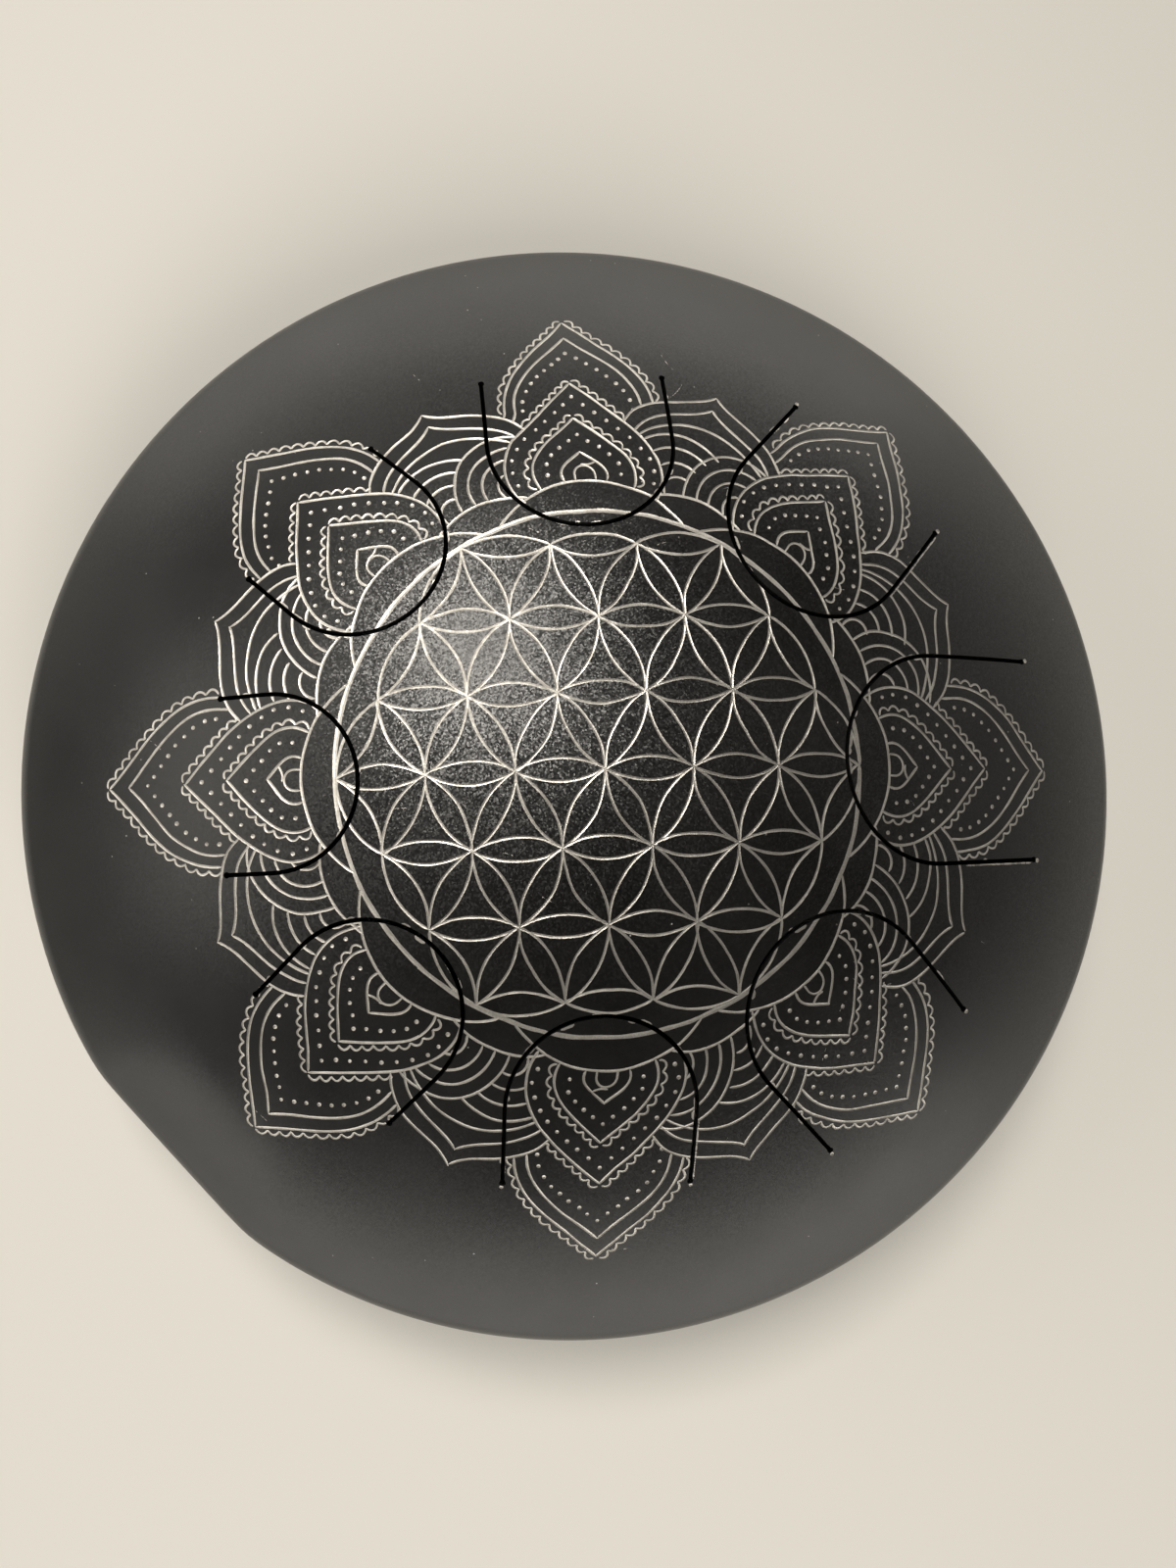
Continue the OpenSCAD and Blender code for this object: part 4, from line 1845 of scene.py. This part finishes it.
@dataclass
class Feet:
    """Moulded feet with rounded soles, in mm, and the plated screws, washers and nuts that hold them."""

    count: int = 4
    turn: float = 45.0
    ring_r: float = 84.0
    height: float = 15.0
    bowl_r: float = 340.5
    gap: float = 0.05
    top_r: float = 15.0
    taper: float = 0.15
    pocket_r: float = 4.6
    hole_r: float = 2.2
    web: float = 5.0
    round_edge: float = 2.0
    pocket_edge: float = 0.6
    round_points: int = 7
    dish_shares: Pair = (0.5, 0.8)
    around: int = 96
    sharp: float = 35.0

    def rings(self, angles: np.ndarray) -> list[np.ndarray]:
        """Returns a foot's rings from its top edge down round the sole and back up through the screw hole.

        Args:
            angles: angle of each corner round the foot's own axis.

        Returns:
            Rings of corners in the foot's own axes, with its height square to the shell.
        """
        lean = math.asin(self.ring_r / self.bowl_r)
        s, c = math.sin(lean), math.cos(lean)
        slant = np.cos(angles) * s
        level = np.ones(len(angles))

        def ring(r: np.ndarray | float, z: np.ndarray | float) -> np.ndarray:
            """Returns one ring from its radius and height at each angle."""
            return np.column_stack([r * np.cos(angles), r * np.sin(angles), z * level])

        def top(r: float) -> float:
            """Returns the height of the hollowed top at a radius."""
            return self.bowl_r - math.sqrt((self.bowl_r + self.gap) ** 2 - r * r)

        def sole(r: np.ndarray | float) -> np.ndarray:
            """Returns the height of the level sole at a radius."""
            return -(self.height + r * slant) / c

        foot_z = -(self.height + self.top_r * slant) / (c + self.taper * slant)
        foot_r = self.top_r + self.taper * foot_z
        rows = [ring(self.top_r, top(self.top_r)), ring(self.top_r, 0.0)]
        e = self.round_edge
        side = ring(foot_r + self.taper * e, foot_z + e)
        flat = ring(foot_r - e, sole(foot_r - e))
        corner = ring(foot_r, foot_z)
        for u in np.linspace(0.0, 1.0, self.round_points):
            rows.append((1 - u) ** 2 * side + 2 * u * (1 - u) * corner + u * u * flat)
        p, pocket, hole = self.pocket_edge, self.pocket_r, self.hole_r
        rows += [ring(pocket + p, sole(pocket + p)), ring(pocket, sole(pocket) + p)]
        rows += [ring(pocket, -self.web), ring(hole, -self.web), ring(hole, top(hole))]
        rows += [ring(share * self.top_r, top(share * self.top_r)) for share in self.dish_shares]
        turned = np.array([[c, 0.0, -s], [0.0, 1.0, 0.0], [s, 0.0, c]])
        return [row @ turned.T + np.array([self.ring_r, 0.0, self.height]) for row in rows]

    def foot(self, number: int, rubber: bpy.types.Material) -> None:
        """Builds one foot as a piece that rides on the drum.

        Args:
            number: the foot's number.
            rubber: its material.
        """
        a = math.radians(self.turn + (number - 1) * 360.0 / self.count)
        c, s = math.cos(a), math.sin(a)
        spin = np.array([[c, -s, 0.0], [s, c, 0.0], [0.0, 0.0, 1.0]])
        body = Body()
        body.grid([body.add(row @ spin.T) for row in self.rings(-round_angles(self.around))])
        piece = body.piece(f"foot_{number}_moulding", [rubber], self.sharp)
        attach(piece, "drum")
        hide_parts(f"foot_{number}")
        LOG.info("%s: %d faces", piece.name, len(piece.data.polygons))

    def dress(self, rubber: bpy.types.Material, zinc: bpy.types.Material) -> None:
        """Builds the feet and plates the fasteners.

        Args:
            rubber: material of the feet.
            zinc: material of the fasteners.
        """
        for number in range(1, self.count + 1):
            self.foot(number, rubber)
        for name in ("foot_screws", "foot_washers", "foot_nuts"):
            node = frame["nodes"][name]
            node.data.materials.clear()
            node.data.materials.append(zinc)
            LOG.info("%s: plated", name)


# The studio


@dataclass
class Softbox:
    """A plain soft light, in metres; one that isn't mirrored shows in no glossy surface."""

    name: str
    spot: Spot
    size: Pair
    power: float
    aim: Spot = (0.0, 0.0, 0.1)
    mirrored: bool = True
    colour: Colour = (1.0, 0.95, 0.88)

    def place(self) -> None:
        """Puts the light in the scene."""
        lamp = bpy.data.lights.new(self.name, "AREA")
        lamp.shape = "RECTANGLE"
        lamp.size, lamp.size_y = self.size
        lamp.energy = self.power
        lamp.color = self.colour
        light = bpy.data.objects.new(self.name, lamp)
        light.visible_glossy = self.mirrored
        light.location = self.spot
        way = Vector(self.aim) - Vector(self.spot)
        light.rotation_euler = way.to_track_quat("-Z", "Y").to_euler()
        bpy.context.collection.objects.link(light)


@dataclass
class Studio:
    """Floor, soft light and a camera that looks down on the drum as the photo does."""

    floor_size: float = 40.0
    eye: Spot = (-0.04666, -0.02508, 0.39726)
    tilt: Spot = (2.414, -2.591, -1.8)
    lens: float = 26.55
    film: float = 36.0
    near: float = 0.01
    shift: Pair = (0.075, 0.028)

    def lights(self) -> list[Softbox]:
        """Sets out the lamps.

        Returns:
            One lamp over the drum, four beside it and a fill for the floor.
        """
        return [
            Softbox("over", (-0.225, 0.475, 1.10), (0.36, 0.36), 9.4, (0.0, 0.02, 0.1)),
            Softbox("far_side", (0.0, 1.3, 0.20), (3.0, 0.38), 5.4),
            Softbox("near_side", (-0.05, -1.3, 0.25), (4.4, 0.46), 9.6),
            Softbox("left_side", (-1.3, 0.1, 0.95), (1.2, 0.6), 5.2),
            Softbox("right_side", (1.4, 0.1, 0.64), (0.9, 0.5), 0.4),
            Softbox("floor_fill", (0.1, -1.05, 1.15), (0.9, 0.9), 15.0, (0.05, -0.35, 0.0), False),
        ]

    def dress(self, paper: bpy.types.Material) -> None:
        """Builds the floor, the lamps, the world and the camera.

        Args:
            paper: material of the floor.
        """
        h = self.floor_size / 2
        mesh = bpy.data.meshes.new("floor")
        mesh.from_pydata([(-h, -h, 0), (h, -h, 0), (h, h, 0), (-h, h, 0)], [], [(0, 1, 2, 3)])
        mesh.materials.append(paper)
        floor = bpy.data.objects.new("floor", mesh)
        bpy.context.collection.objects.link(floor)
        floor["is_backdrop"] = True
        lamps = self.lights()
        for lamp in lamps:
            lamp.place()
        bpy.context.scene.world = Backdrop().world()
        lens = bpy.data.cameras.new("camera")
        lens.lens = self.lens
        lens.sensor_width = self.film
        lens.shift_x, lens.shift_y = self.shift
        lens.clip_start = self.near
        camera = bpy.data.objects.new("camera", lens)
        camera.location = self.eye
        camera.rotation_euler = [math.radians(a) for a in self.tilt]
        bpy.context.collection.objects.link(camera)
        bpy.context.scene.camera = camera
        bpy.context.scene.view_settings.view_transform = "Standard"
        LOG.info("studio: floor, %d lamps and camera", len(lamps))


def main() -> None:
    """Builds every piece of the drum in order, then the studio."""
    logging.basicConfig(level=logging.INFO, format="%(name)s: %(message)s")
    coat, steel = BlackCoat().material(), BareSteel().material()
    dome = Dome(top_z=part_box("upper_shell")[1][2] / MM)
    tongues = [Tongue.from_frame(note) for note in range(1, NOTES + 1)]
    marks = Mandala().marks() + Wear(tongues).marks()
    TopSkin(dome, tongues, marks).dress(coat, steel)
    Bowl(lip_z=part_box("lower_shell")[0][2] / MM + Bowl.lip_r).dress(coat)
    low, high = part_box("seam_weld")
    SeamWeld(middle_z=(low[2] + high[2]) / 2 / MM).dress(WeldCoat().material())
    Feet().dress(MouldedRubber().material(), ZincPlate().material())
    Studio().dress(PaperFloor().material())
    low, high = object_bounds()


if __name__ == "__main__":
    main()
